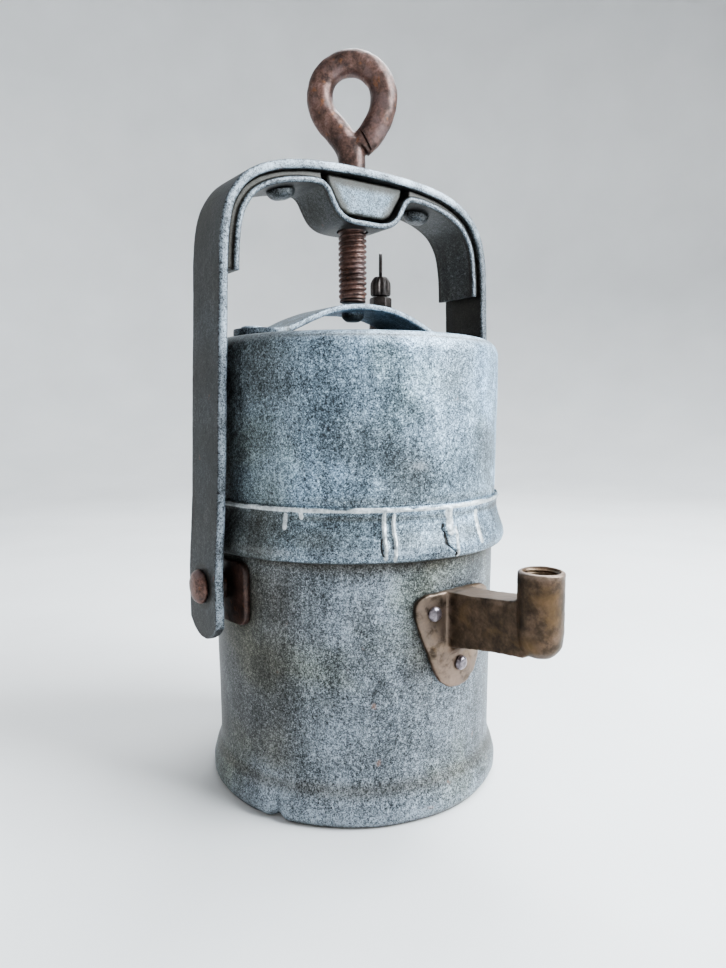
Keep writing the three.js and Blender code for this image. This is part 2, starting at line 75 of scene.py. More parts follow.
def fillet(pts, closed=False, n=5):
    """(x, y[, radius]) corners to a polyline with rounded corners."""
    out, N = [], len(pts)
    for i, p in enumerate(pts):
        r = p[2] if len(p) > 2 else 0
        b = Vector(p[:2])
        if r <= 0 or (not closed and i in (0, N - 1)):
            out.append((b.x, b.y))
            continue
        u, v = Vector(pts[i - 1][:2]) - b, Vector(pts[(i + 1) % N][:2]) - b
        lu, lv = u.length, v.length
        u /= lu
        v /= lv
        ang = u.angle(v)
        if ang > pi - 0.02:
            out.append((b.x, b.y))
            continue
        t = min(r / math.tan(ang / 2), lu * 0.49, lv * 0.49)
        rr = t * math.tan(ang / 2)
        c = b + (u + v).normalized() * (rr / sin(ang / 2))
        a0, a1 = b + u * t - c, b + v * t - c
        th0 = atan2(a0.y, a0.x)
        d = (atan2(a1.y, a1.x) - th0 + pi) % (2 * pi) - pi
        for k in range(n + 1):
            th = th0 + d * k / n
            out.append((c.x + rr * cos(th), c.y + rr * sin(th)))
    return out


def spline(pts, n=6, closed=False):
    """Catmull-Rom through the points."""
    P = [Vector(p) for p in pts]
    N, out = len(P), []
    last = N if closed else N - 1
    for i in range(last):
        if closed:
            a, b, c, d = P[i - 1], P[i], P[(i + 1) % N], P[(i + 2) % N]
        else:
            b, c = P[i], P[i + 1]
            a = P[i - 1] if i > 0 else b * 2 - c
            d = P[i + 2] if i + 2 < N else c * 2 - b
        for k in range(n):
            t = k / n
            out.append(0.5 * ((2 * b) + (c - a) * t + (2 * a - 5 * b + 4 * c - d) * t * t + (3 * b - a - 3 * c + d) * t ** 3))
    if not closed:
        out.append(P[-1].copy())
    return out


def densify(pts, step):
    out = [pts[0]]
    for a, b in zip(pts[:-1], pts[1:]):
        n = max(1, int(math.ceil(hypot(b[0] - a[0], b[1] - a[1]) / step)))
        for k in range(1, n + 1):
            out.append((a[0] + (b[0] - a[0]) * k / n, a[1] + (b[1] - a[1]) * k / n))
    return out


def make(name, verts, faces):
    me = bpy.data.meshes.new(name)
    me.from_pydata([tuple(Vector(v) * MM) for v in verts], [], faces)
    me.validate()
    me.update()
    o = bpy.data.objects.new(name, me)
    bpy.context.scene.collection.objects.link(o)
    return o


def from_bm(name, bm):
    bmesh.ops.recalc_face_normals(bm, faces=bm.faces)
    me = bpy.data.meshes.new(name)
    bm.to_mesh(me)
    bm.free()
    me.transform(Matrix.Scale(MM, 4))
    me.update()
    o = bpy.data.objects.new(name, me)
    bpy.context.scene.collection.objects.link(o)
    return o


def shade(o, angle=38):
    """Smooth shading with edges sharper than the angle kept sharp."""
    bm = bmesh.new()
    bm.from_mesh(o.data)
    lim = radians(angle)
    for f in bm.faces:
        f.smooth = True
    for e in bm.edges:
        e.smooth = not (len(e.link_faces) == 2 and e.calc_face_angle(0) > lim)
    bm.to_mesh(o.data)
    bm.free()
    o.data.update()
    return o


def bake_mods(o):
    dg = bpy.context.evaluated_depsgraph_get()
    dg.update()
    me = bpy.data.meshes.new_from_object(o.evaluated_get(dg), preserve_all_data_layers=True, depsgraph=dg)
    o.modifiers.clear()
    old = o.data
    o.data = me
    bpy.data.meshes.remove(old)
    return o


def drop(o):
    me = o.data
    bpy.data.objects.remove(o)
    bpy.data.meshes.remove(me)


def boolean(o, other, op="DIFFERENCE", keep=False, own=False):
    m = o.modifiers.new("b", "BOOLEAN")
    m.use_self = own
    m.operation = op
    m.solver = "EXACT"
    m.object = other
    bake_mods(o)
    if not keep:
        drop(other)
    return o


def bevel(o, width, segments=3, angle=35):
    m = o.modifiers.new("v", "BEVEL")
    m.width = width * MM
    m.segments = segments
    m.limit_method = "ANGLE"
    m.angle_limit = radians(angle)
    m.use_clamp_overlap = True
    return bake_mods(o)


def remesh(o, voxel, smooth_n=4, factor=0.5):
    m = o.modifiers.new("r", "REMESH")
    m.mode = "VOXEL"
    m.voxel_size = voxel * MM
    s = o.modifiers.new("s", "SMOOTH")
    s.iterations = smooth_n
    s.factor = factor
    return bake_mods(o)


def lathe(name, prof, seg=None, disp=None, center=(0, 0), closed=None):
    """Turned mesh from (r, z) points in mm. disp(x, y, z, r, a) -> (dr, dz)."""
    seg = seg or SEG
    if closed is None:
        closed = prof[0][0] > 1e-6 and prof[-1][0] > 1e-6
    verts, rows = [], []
    for r, z in prof:
        if r < 1e-6:
            rows.append([len(verts)])
            verts.append([0, 0, z])
            continue
        row = []
        for k in range(seg):
            a = 2 * pi * k / seg
            dr = dz = 0.0
            x, y = r * cos(a), r * sin(a)
            if disp:
                dr, dz = disp(x, y, z, r, a)
            row.append(len(verts))
            verts.append([(r + dr) * cos(a), (r + dr) * sin(a), z + dz])
        rows.append(row)
    faces = []
    n = len(rows)
    for i in range(n if closed else n - 1):
        A, B = rows[i], rows[(i + 1) % n]
        for k in range(seg):
            k2 = (k + 1) % seg
            if len(A) == 1 and len(B) == 1:
                continue
            if len(A) == 1:
                faces.append((A[0], B[k2], B[k]))
            elif len(B) == 1:
                faces.append((A[k], A[k2], B[0]))
            else:
                faces.append((A[k], A[k2], B[k2], B[k]))
    for v in verts:
        v[0] += center[0]
        v[1] += center[1]
    o = make(name, verts, faces)
    fix_normals(o)
    return o


def fix_normals(o):
    bm = bmesh.new()
    bm.from_mesh(o.data)
    bmesh.ops.recalc_face_normals(bm, faces=bm.faces)
    bm.to_mesh(o.data)
    bm.free()
    o.data.update()
    return o


def prism(name, outline, lo, hi, plane="XZ", cuts=0):
    """Closed outline in a plane, extruded from lo to hi along the third axis."""
    ax = {"XZ": lambda u, v, w: (u, w, v), "YZ": lambda u, v, w: (w, u, v), "XY": lambda u, v, w: (u, v, w)}[plane]
    bm = bmesh.new()
    layers = []
    for k in range(cuts + 2):
        w = lo + (hi - lo) * k / (cuts + 1)
        layers.append([bm.verts.new(ax(u, v, w)) for u, v in outline])
    n = len(outline)
    for a, b in zip(layers[:-1], layers[1:]):
        for i in range(n):
            j = (i + 1) % n
            bm.faces.new((a[i], a[j], b[j], b[i]))
    bm.faces.new(layers[0])
    bm.faces.new(list(reversed(layers[-1])))
    return from_bm(name, bm)


def cyl(name, r, p0, p1, seg=48):
    p0, p1 = Vector(p0), Vector(p1)
    q = (p1 - p0).to_track_quat("Z", "Y").to_matrix()
    verts = []
    for p in (p0, p1):
        for k in range(seg):
            a = 2 * pi * k / seg
            verts.append(p + q @ Vector((r * cos(a), r * sin(a), 0)))
    faces = [(k, (k + 1) % seg, seg + (k + 1) % seg, seg + k) for k in range(seg)]
    faces += [tuple(range(seg))[::-1], tuple(range(seg, 2 * seg))]
    o = make(name, verts, faces)
    return fix_normals(o)


def wobble(o, amp, scale, seed=0.0, where=None, octaves=2, along=None):
    """Moves vertices along their normals by noise; amp and 1/scale in mm."""
    me = o.data
    co = np.zeros(len(me.vertices) * 3)
    me.vertices.foreach_get("co", co)
    co = co.reshape(-1, 3) / MM
    no = np.zeros(len(me.vertices) * 3)
    me.vertices.foreach_get("normal", no)
    no = no.reshape(-1, 3)
    out = co.copy()
    for i, (x, y, z) in enumerate(co):
        w = 1.0 if where is None else where(x, y, z)
        if w:
            out[i] += no[i] * (amp * w * fbm(x, y, z, scale, seed, octaves))
    me.vertices.foreach_set("co", (out * MM).ravel())
    me.update()
    return o


def turn(o, angle, axis="Z", about=(0, 0, 0)):
    c = Vector(about) * MM
    o.data.transform(Matrix.Translation(c) @ Matrix.Rotation(radians(angle), 4, axis) @ Matrix.Translation(-c))
    return o


def shift(o, x=0, y=0, z=0):
    o.data.transform(Matrix.Translation(Vector((x, y, z)) * MM))
    return o


def join(name, objs):
    bm = bmesh.new()
    for o in objs:
        bm.from_mesh(o.data)
    me = bpy.data.meshes.new(name)
    bm.to_mesh(me)
    bm.free()
    for o in objs:
        drop(o)
    o = bpy.data.objects.new(name, me)
    bpy.context.scene.collection.objects.link(o)
    return o


def paint(o, name, fn):
    """Writes a 0..1 mask to the mesh as a named float attribute (fn in mm)."""
    me = o.data
    at = me.attributes.get(name) or me.attributes.new(name, "FLOAT", "POINT")
    vals = np.zeros(len(me.vertices), np.float32)
    co = np.zeros(len(me.vertices) * 3)
    me.vertices.foreach_get("co", co)
    co = co.reshape(-1, 3) / MM
    for i, (x, y, z) in enumerate(co):
        vals[i] = fn(x, y, z)
    at.data.foreach_set("value", vals)
    return o


def edge_wear(o, name, rounds=3, gain=7.0, extra=None):
    """Mask from how convex the surface is, so worn corners come out bright."""
    me = o.data
    n = len(me.vertices)
    co = np.zeros(n * 3)
    me.vertices.foreach_get("co", co)
    co = co.reshape(-1, 3) / MM
    no = np.zeros(n * 3)
    me.vertices.foreach_get("normal", no)
    no = no.reshape(-1, 3)
    e = np.zeros(len(me.edges) * 2, np.int32)
    me.edges.foreach_get("vertices", e)
    e = e.reshape(-1, 2)
    cnt = np.bincount(e.ravel(), minlength=n).clip(1)

    def avg(v):
        s = np.zeros(n)
        np.add.at(s, e[:, 0], v[e[:, 1]])
        np.add.at(s, e[:, 1], v[e[:, 0]])
        return s / cnt

    mean = np.stack([avg(co[:, k]) for k in range(3)], 1)
    c = ((co - mean) * no).sum(1)
    for _ in range(rounds):
        c = 0.5 * c + 0.5 * avg(c)
    v = np.clip(c * gain, 0, 1)
    if extra is not None:
        v = np.array([clamp(extra(co[i][0], co[i][1], co[i][2], v[i]), 0, 1) for i in range(n)])
    at = me.attributes.get(name) or me.attributes.new(name, "FLOAT", "POINT")
    at.data.foreach_set("value", v.astype(np.float32))
    return o


def place(o, body, material, nodes=()):
    o.data.materials.clear()
    o.data.materials.append(material)
    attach(o, body)
    if nodes:
        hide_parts(*nodes)
    return o


# ------------------------------------------------------------------- materials
class Mat:
    def __init__(self, name):
        self.m = bpy.data.materials.new(name)
        self.m.use_nodes = True
        self.nt = self.m.node_tree
        self.nt.nodes.clear()
        self.out = self.nt.nodes.new("ShaderNodeOutputMaterial")
        self.b = self.nt.nodes.new("ShaderNodeBsdfPrincipled")
        self.nt.links.new(self.b.outputs[0], self.out.inputs[0])
        self.tc = self.nt.nodes.new("ShaderNodeTexCoord").outputs["Object"]

    def link(self, a, b):
        self.nt.links.new(a, b)

    def val(self, sock, v):
        if hasattr(v, "is_linked") or isinstance(v, bpy.types.NodeSocket):
            self.link(v, sock)
        else:
            sock.default_value = v

    def mapping(self, scale=(1, 1, 1), rot=(0, 0, 0), loc=(0, 0, 0)):
        n = self.nt.nodes.new("ShaderNodeMapping")
        self.link(self.tc, n.inputs["Vector"])
        n.inputs["Scale"].default_value = scale
        n.inputs["Rotation"].default_value = rot
        n.inputs["Location"].default_value = loc
        return n.outputs[0]

    def noise(self, scale, detail=4, rough=0.6, dist=0.0, vec=None, lac=2.0):
        n = self.nt.nodes.new("ShaderNodeTexNoise")
        self.link(vec or self.tc, n.inputs["Vector"])
        n.inputs["Scale"].default_value = scale
        n.inputs["Detail"].default_value = detail
        n.inputs["Roughness"].default_value = rough
        n.inputs["Distortion"].default_value = dist
        n.inputs["Lacunarity"].default_value = lac
        return n.outputs["Fac"]

    def voronoi(self, scale, vec=None, feature="F1", rand=1.0):
        n = self.nt.nodes.new("ShaderNodeTexVoronoi")
        n.feature = feature
        self.link(vec or self.tc, n.inputs["Vector"])
        n.inputs["Scale"].default_value = scale
        n.inputs["Randomness"].default_value = rand
        return n.outputs["Distance"]

    def ramp(self, fac, stops, mode="LINEAR"):
        n = self.nt.nodes.new("ShaderNodeValToRGB")
        n.color_ramp.interpolation = mode
        el = n.color_ramp.elements
        while len(el) < len(stops):
            el.new(0.5)
        for e, (p, c) in zip(el, stops):
            e.position = p
            e.color = (c, c, c, 1) if isinstance(c, (int, float)) else (*c, 1)
        self.link(fac, n.inputs[0])
        return n.outputs[0]

    def mask(self, fac, lo, hi):
        n = self.nt.nodes.new("ShaderNodeMapRange")
        n.interpolation_type = "SMOOTHSTEP"
        self.link(fac, n.inputs["Value"])
        n.inputs["From Min"].default_value = lo
        n.inputs["From Max"].default_value = hi
        return n.outputs[0]

    def math(self, op, a, b=0.0, c=0.0, cl=False):
        n = self.nt.nodes.new("ShaderNodeMath")
        n.operation = op
        n.use_clamp = cl
        for i, v in enumerate((a, b, c)):
            self.val(n.inputs[i], v)
        return n.outputs[0]

    def mix(self, fac, a, b, mode="MIX"):
        n = self.nt.nodes.new("ShaderNodeMix")
        n.data_type = "RGBA"
        n.blend_type = mode
        self.val(n.inputs[0], fac)
        for sock, v in ((n.inputs[6], a), (n.inputs[7], b)):
            if isinstance(v, tuple):
                sock.default_value = (*v, 1) if len(v) == 3 else v
            else:
                self.link(v, sock)
        return n.outputs[2]

    def attr(self, name):
        n = self.nt.nodes.new("ShaderNodeAttribute")
        n.attribute_name = name
        return n.outputs["Fac"]

    def xyz(self):
        n = self.nt.nodes.new("ShaderNodeSeparateXYZ")
        self.link(self.tc, n.inputs[0])
        return n.outputs

    def normal_z(self):
        g = self.nt.nodes.new("ShaderNodeNewGeometry")
        n = self.nt.nodes.new("ShaderNodeSeparateXYZ")
        self.link(g.outputs["Normal"], n.inputs[0])
        return n.outputs

    def bump(self, *layers):
        """layers: (height socket, distance in mm, strength)."""
        prev = None
        for h, d, s in layers:
            n = self.nt.nodes.new("ShaderNodeBump")
            n.inputs["Distance"].default_value = d * MM
            n.inputs["Strength"].default_value = s
            self.link(h, n.inputs["Height"])
            if prev is not None:
                self.link(prev, n.inputs["Normal"])
            prev = n.outputs[0]
        self.link(prev, self.b.inputs["Normal"])

    def done(self, color, rough, metal):
        self.val(self.b.inputs["Base Color"], color if not isinstance(color, tuple) else (*color, 1))
        self.val(self.b.inputs["Roughness"], rough)
        self.val(self.b.inputs["Metallic"], metal)
        return self.m


def zinc(name, tone=1.0, salt=0.5, olive=0.25, blue=0.3, wear=None, solder=False, seed=0.0, tint=(1.0, 1.0, 1.0), cool=1.0):
    """Old dipped zinc: dark oxide full of fine light grains, with streaks, and grime that also carries painted shade.
    """
    M = Mat(name)
    sh = M.mapping(loc=(seed, seed * 0.7, -seed))
    fine = M.noise(2300, 4, 0.70, vec=sh)
    fine2 = M.noise(950, 5, 0.72, 0.3, vec=sh)
    mid = M.noise(150, 6, 0.66, 0.4, vec=sh)
    big = M.noise(26, 4, 0.6, 0.6, vec=sh)
    streak = M.noise(150, 4, 0.6, vec=M.mapping(scale=(1, 1, 0.12), loc=(seed, 0, 0)))
    grain = M.math("ADD", M.math("MULTIPLY", fine, 0.62), M.math("MULTIPLY", fine2, 0.38))
    lift = M.math("MULTIPLY", M.math("SUBTRACT", mid, 0.5), 0.17)
    lift = M.math("ADD", lift, M.math("MULTIPLY", M.math("SUBTRACT", big, 0.5), 0.27))
    lift = M.math("ADD", lift, M.math("MULTIPLY", M.math("SUBTRACT", streak, 0.5), 0.16))
    g = M.math("ADD", grain, lift)
    t = tone

    def hue(v):
        return (v * t * (1 - 0.17 * cool), v * t, v * t * (1 + 0.15 * cool))

    dark, midc, soft, light = hue(0.019), hue(0.098), hue(0.186), hue(0.50)
    col = M.ramp(g, [(0.405, dark), (0.470 + 0.015 * (1 - salt), midc), (0.520 + 0.035 * (1 - salt), soft), (0.605 + 0.035 * (1 - salt), light)])
    # bluish bloom and olive grime in broad patches
    col = M.mix(M.math("MULTIPLY", M.mask(big, 0.45, 0.65), blue), col, M.mix(1.0, col, (0.78, 0.92, 1.10), "MULTIPLY"))
    ol = M.mask(M.noise(20, 4, 0.6, 0.5, vec=M.mapping(loc=(3.1 + seed, 1.0, 0.4))), 0.48, 0.70)
    col = M.mix(M.math("MULTIPLY", ol, olive), col, M.mix(1.0, col, (0.95, 0.93, 0.66), "MULTIPLY"))
    # rust-pink specks
    sp = M.mask(M.noise(170, 3, 0.5, 0.2, vec=M.mapping(loc=(7.7, seed, 2.0))), 0.70, 0.78)
    col = M.mix(M.math("MULTIPLY", sp, 0.55), col, (0.22, 0.115, 0.080))
    rough = M.math("ADD", 0.40, M.math("MULTIPLY", M.mask(g, 0.35, 0.70), 0.20))
    met = 0.55
    if wear:
        w = M.attr("wear")
        wn = M.math("MULTIPLY", w, M.mask(M.math("ADD", grain, M.math("MULTIPLY", w, 0.16)), 0.46, 0.66))
        col = M.mix(M.math("MULTIPLY", wn, wear), col, (0.38 * tint[0], 0.44 * tint[1], 0.50 * tint[2]))
        # the grime mask carries dirt and painted shade: it warms the colour, then darkens it in specks towards
        # near-black
        dirt_shade = M.attr("dirt_and_painted_shade")
        col = M.mix(M.math("MULTIPLY", dirt_shade, 0.9), col, M.mix(1.0, col, (1.02, 0.84, 0.66), "MULTIPLY"))
        dirt_shade_speckled = M.math("MULTIPLY", dirt_shade, M.mask(M.math("ADD", mid, M.math("MULTIPLY", dirt_shade, 0.35)), 0.40, 0.62))
        col = M.mix(M.math("MULTIPLY", dirt_shade_speckled, 0.85), col, (0.017, 0.014, 0.010))
    if solder:
        s = M.attr("solder")
        sn = M.mask(M.math("ADD", s, M.math("MULTIPLY", M.math("SUBTRACT", mid, 0.5), 0.5)), 0.30, 0.62)
        scol = M.ramp(M.math("ADD", M.math("MULTIPLY", fine2, 0.6), M.math("MULTIPLY", mid, 0.4)), [(0.36, (0.20, 0.215, 0.22)), (0.50, (0.46, 0.49, 0.50)), (0.64, (0.78, 0.80, 0.80))])
        col = M.mix(M.math("MULTIPLY", sn, 0.92), col, scol)
        ck = M.attr("crack")
        col = M.mix(M.mask(ck, 0.35, 0.7), col, (0.018, 0.017, 0.017))
    M.bump((mid, 0.25, 0.35), (fine2, 0.12, 0.6), (fine, 0.05, 0.5))
    return M.done(col, rough, met)


def rusty(name, tone=1.0, orange=0.5, seed=0.0, bright=0.5):
    """Brown rust with purple-grey handled highlights and orange specks."""
    M = Mat(name)
    sh = M.mapping(loc=(seed, -seed, seed))
    fine = M.noise(1300, 5, 0.7, vec=sh)
    mid = M.noise(260, 5, 0.65, 0.5, vec=sh)
    big = M.noise(70, 4, 0.6, 0.6, vec=sh)
    g = M.math("ADD", M.math("MULTIPLY", fine, 0.30), M.math("MULTIPLY", mid, 0.40))
    g = M.math("ADD", g, M.math("MULTIPLY", big, 0.30))
    t = tone
    col = M.ramp(g, [(0.38, (0.018 * t, 0.011 * t, 0.009 * t)), (0.47, (0.052 * t, 0.030 * t, 0.024 * t)),
                     (0.55, (0.118 * t, 0.064 * t, 0.050 * t)), (0.68, (0.220 * t, 0.150 * t, 0.135 * t))])
    hi = M.mask(M.noise(120, 4, 0.6, 0.3, vec=M.mapping(loc=(1.3 + seed, 4, 2))), 0.50, 0.68)
    col = M.mix(M.math("MULTIPLY", hi, bright), col, (0.155 * t, 0.106 * t, 0.102 * t))
    sp = M.mask(M.noise(330, 3, 0.55, 0.2, vec=M.mapping(loc=(seed, 9, 5))), 0.62, 0.72)
    col = M.mix(M.math("MULTIPLY", sp, orange), col, (0.27, 0.105, 0.035))
    rough = M.math("ADD", 0.26, M.math("MULTIPLY", mid, 0.30))
    M.bump((big, 0.3, 0.25), (mid, 0.18, 0.5), (fine, 0.06, 0.6))
    return M.done(col, rough, 0.5)


def brass(name, gold=0.35, tone=1.0, seed=0.0, wear=False):
    """Brass under a brown-olive patina, rubbed brighter on edges."""
    M = Mat(name)
    sh = M.mapping(loc=(seed, seed, -seed))
    fine = M.noise(1200, 5, 0.7, vec=sh)
    mid = M.noise(240, 5, 0.62, 0.4, vec=sh)
    big = M.noise(60, 4, 0.6, 0.8, vec=sh)
    t = tone
    g = M.math("ADD", M.math("MULTIPLY", mid, 0.45), M.math("ADD", M.math("MULTIPLY", big, 0.35), M.math("MULTIPLY", fine, 0.20)))
    col = M.ramp(g, [(0.36, (0.022 * t, 0.014 * t, 0.009 * t)), (0.48, (0.060 * t, 0.040 * t, 0.025 * t)),
                     (0.58, (0.122 * t, 0.078 * t, 0.052 * t)), (0.70, (0.22 * t, 0.158 * t, 0.118 * t))])
    gm = M.mask(M.noise(90, 4, 0.6, 0.6, vec=M.mapping(loc=(2, seed, 8))), 0.52, 0.70)
    col = M.mix(M.math("MULTIPLY", gm, gold), col, (0.175 * t, 0.105 * t, 0.045 * t))
    if wear:
        w = M.attr("wear")
        wn = M.math("MULTIPLY", w, M.mask(M.math("ADD", mid, M.math("MULTIPLY", w, 0.3)), 0.40, 0.66))
        col = M.mix(M.math("MULTIPLY", wn, 0.75), col, (0.37, 0.285, 0.232))
    rough = M.math("ADD", 0.32, M.math("MULTIPLY", mid, 0.25))
    M.bump((big, 0.25, 0.2), (mid, 0.12, 0.4), (fine, 0.04, 0.5))
    return M.done(col, rough, 0.72)


def plain(name, col, rough, metal, scale=300, amount=0.35, bump=0.4):
    M = Mat(name)
    n = M.noise(scale, 5, 0.65, 0.3)
    f = M.noise(scale * 5, 4, 0.6)
    c = M.ramp(n, [(0.35, tuple(x * (1 - amount) for x in col)), (0.65, tuple(min(1, x * (1 + amount)) for x in col))])
    M.bump((n, 0.15, bump), (f, 0.04, bump))
    return M.done(c, M.math("ADD", rough - 0.08, M.math("MULTIPLY", f, 0.16)), metal)


Z_POT = zinc("zinc_pot", tone=0.80, salt=0.8, olive=0.65, blue=0.22, wear=0.75, seed=1.0, cool=0.62)
Z_TANK = zinc("zinc_tank", tone=1.50, salt=0.65, olive=0.28, blue=0.35, wear=0.75, seed=4.0, cool=1.4)
Z_COLLAR = zinc("zinc_collar", tone=1.36, salt=0.40, olive=0.15, blue=0.35, cool=1.3, wear=0.8, solder=True, seed=7.0)
Z_STRAP = zinc("zinc_strap", tone=0.95, salt=0.3, olive=0.05, blue=0.5, wear=0.7, seed=9.0)
Z_YOKE = zinc("zinc_yoke", tone=0.24, salt=0.40, olive=0.50, blue=0.10, wear=0.95, seed=12.0, cool=0.35)
Z_YOKE_IN = zinc("zinc_yoke_inner", tone=0.52, salt=0.35, olive=0.15, blue=0.35, wear=0.9, seed=15.0, cool=0.6)
Z_NUT = zinc("zinc_nut", tone=0.60, salt=0.30, olive=0.0, blue=0.6, wear=0.25, seed=18.0, cool=1.6)
RUST = rusty("rust_screw", 1.0, 0.40, 1.0, 0.5)
RUST_PIVOT = rusty("rust_pivot", 1.35, 0.45, 5.0, 0.6)
RUST_DARK = rusty("rust_dark", 0.55, 0.25, 8.0, 0.15)
PAD = rusty("pad_rust", 0.62, 0.30, 11.0, 0.25)
BRASS = brass("brass_bracket", 0.45, 0.82, 2.0, wear=True)
BRASS_IN = brass("brass_thread", 0.65, 1.7, 6.0)
RIVET = plain("rivet_metal", (0.21, 0.185, 0.20), 0.30, 0.85, 500, 0.5)
VALVE = plain("valve_dark", (0.050, 0.040, 0.036), 0.42, 0.5, 350, 0.5)
TIN = plain("tinplate", (0.40, 0.40, 0.39), 0.42, 0.8, 150, 0.25)
RUBBER = plain("rubber_black", (0.030, 0.029, 0.028), 0.8, 0.0, 400, 0.3)

# =================================================================== geometry
FRONT = -90.0                      # polar angle of the lamp's front (-Y)


def delta(x, y):
    """Degrees round from the front, positive towards +X."""
    d = math.degrees(atan2(y, x)) - FRONT
    return (d + 180) % 360 - 180


def arc_gap(d, at):
    return abs((d - at + 180) % 360 - 180)


# ------------------------------------------------------------------ carbide pot
def pot_disp(x, y, z, r, a):
    d = delta(x, y)
    dr = 0.16 * fbm(x, y, z, 0.028, 3.0, 2) + 0.05 * fbm(x, y, z, 0.12, 8.0, 2)
    dr += 0.10 * cos(2 * radians(d) + 0.6) * smooth(15, 60, z)
    # a few shallow dents
    for (da, zc, w, depth) in ((-30, 30, 9, 0.35), (18, 26, 8, 0.30), (-62, 44, 7, 0.25), (120, 40, 14, 0.5), (-140, 24, 10, 0.4)):
        q = ((arc_gap(d, da) * pi / 180 * 48) ** 2 + (z - zc) ** 2) / (w * w)
        if q < 6:
            dr -= depth * math.exp(-q)
    dz = 0.0
    if z < 14 and r > 45:
        k = smooth(14, 4, z)
        # uneven rolled foot
        dr += k * (0.28 * fbm(x, y, 0, 0.05, 21.0, 2) - 0.12)
        # torn, curled edge at the front left
        g = math.exp(-((d + 63.4) / 2.2) ** 2)
        dr -= k * 1.7 * g
        dz += k * 0.9 * g
        g2 = math.exp(-((d + 70.5) / 5.0) ** 2)
        dr += k * 0.55 * g2
        dz += k * 0.35 * g2
    if r < 1:
        dr = 0
    # outer faces never pass the CAD outline by more than a hair
    return clamp(dr, -2.2, 0.35), max(dz, -z)


outer = fillet([(0, 0), (48.9, 0, 0.8), (50.3, 2.0, 1.6), (50.35, 5.2, 2.6), (49.3, 9.4, 4.0), (47.75, 13.6, 6.0), (47.65, 17), (48.35, 60), (48.5, 80, 3), (47.9, 86, 2), (47.9, 94, 0.5)], n=7)
inner = fillet([(46.3, 94, 0.5), (46.3, 86, 2), (46.9, 80, 3), (46.1, 16, 3), (46.0, 4.5, 2.5), (43.8, 1.6, 1.0), (0, 1.6)], n=4)
prof = densify(outer, 0.9) + densify(inner, 6)
pot = lathe("carbide_pot_body", prof, SEG, pot_disp)


def pot_wear(x, y, z):
    d = delta(x, y)
    v = 0.42 * smooth(7.0, 3.5, z) * smooth(0.6, 2.0, z) * (0.7 + 0.5 * nz(x, y, z, 0.1, 12))
    v += 0.35 * smooth(62, 48, z) * 0.5 * (1 + nz(x, y, z, 0.05, 5))
    v += 0.5 * math.exp(-((z - 80.0) / 1.2) ** 2) * max(0, nz(x, y, z, 0.15, 2))
    v += 0.9 * math.exp(-((arc_gap(d, -10.8) / 1.0) ** 2 + ((z - 80.3) / 0.8) ** 2))
    return clamp(v, 0, 1)


def pot_dirt_and_shade(x, y, z):
    d = delta(x, y)
    q = (arc_gap(d, -82) / 17) ** 2 + ((z - 66) / 15) ** 2
    v = 1.0 * math.exp(-q)                       # round the left pivot
    q = (arc_gap(d, 90) / 15) ** 2 + ((z - 66) / 14) ** 2
    v = max(v, 0.9 * math.exp(-q))
    # painted shade under the collar's skirt
    v = max(v, 0.75 * smooth(76, 82, z))          # under the collar
    # painted shade down the left side of the pot
    v = max(v, 0.70 * smooth(-48, -66, d) * smooth(-176, -130, d) * smooth(8, 20, z) * (0.65 + 0.35 * nz(x, y, z, 0.06, 4)))
    v = max(v, 0.45 * math.exp(-((z - 11.5) / 2.4) ** 2))
    # painted shade and dirt in the crevice beside the bracket's flange
    q = ((d + 9) / 6.0) ** 2 + ((z - 56) / 13) ** 2
    v = max(v, 0.55 * math.exp(-q))
    # painted shade under the foot's bottom rim
    v = max(v, 0.9 * smooth(1.2, 0.0, z))
    # painted shade inside the pot
    if hypot(x, y) < 46.5:
        v = max(v, 0.6)
    return clamp(v, 0, 1)


paint(pot, "wear", pot_wear)
paint(pot, "dirt_and_painted_shade", pot_dirt_and_shade)
shade(pot, 40)
place(pot, "pot", Z_POT, ["carbide_pot"])

# ------------------------------------------------------------------- water tank
def tank_disp(x, y, z, r, a):
    d = delta(x, y)
    if r < 2:
        return 0, 0
    dr = 0.13 * fbm(x, y, z, 0.03, 31.0, 2) + 0.04 * fbm(x, y, z, 0.14, 5.0, 2)
    for (da, zc, w, depth) in ((-12, 111, 7, 0.25), (-40, 128, 9, 0.3), (30, 120, 10, 0.25), (150, 118, 13, 0.5)):
        q = ((arc_gap(d, da) * pi / 180 * 49) ** 2 + (z - zc) ** 2) / (w * w)
        if q < 6:
            dr -= depth * math.exp(-q)
    dz = 0.0
    if z > 148 and r < 44:
        dz = 0.12 * fbm(x, y, 0, 0.05, 2.0, 2) * smooth(43, 38, r)
    return clamp(dr, -1.2, 0.0) if r > 49.7 else clamp(dr, -1.2, 0.3), clamp(dz, -0.3, 0.0)


outer = fillet([(49.2, 97.6), (49.75, 137, 8), (49.8, 149.0, 6.4), (0, 149.0)], n=12)
inner = fillet([(0, 147.5), (48.2, 147.5, 5), (48.0, 137), (47.8, 97.6)], n=5)
tank = lathe("water_tank_shell", densify(outer, 0.9) + densify(inner, 6), SEG, tank_disp)
for i, (cx, cy, r) in enumerate(((24.5, 17.0, 3.2), (-17.5, 29.7, 5.2))):
    boolean(tank, cyl("cut%d" % i, r, (cx, cy, 140), (cx, cy, 156), 40))


def tank_wear(x, y, z):
    r = hypot(x, y)
    v = 0.55 * math.exp(-((z - 147.2) / 1.6) ** 2) * smooth(42, 46, r)
    v += 0.35 * smooth(146.0, 149, z) * (0.5 + 0.5 * nz(x, y, z, 0.08, 1))
    d = delta(x, y)
    v += 0.8 * math.exp(-((arc_gap(d, -11.2) / 4) ** 2 + ((z - 109.5) / 1.6) ** 2))
    return clamp(v, 0, 1)


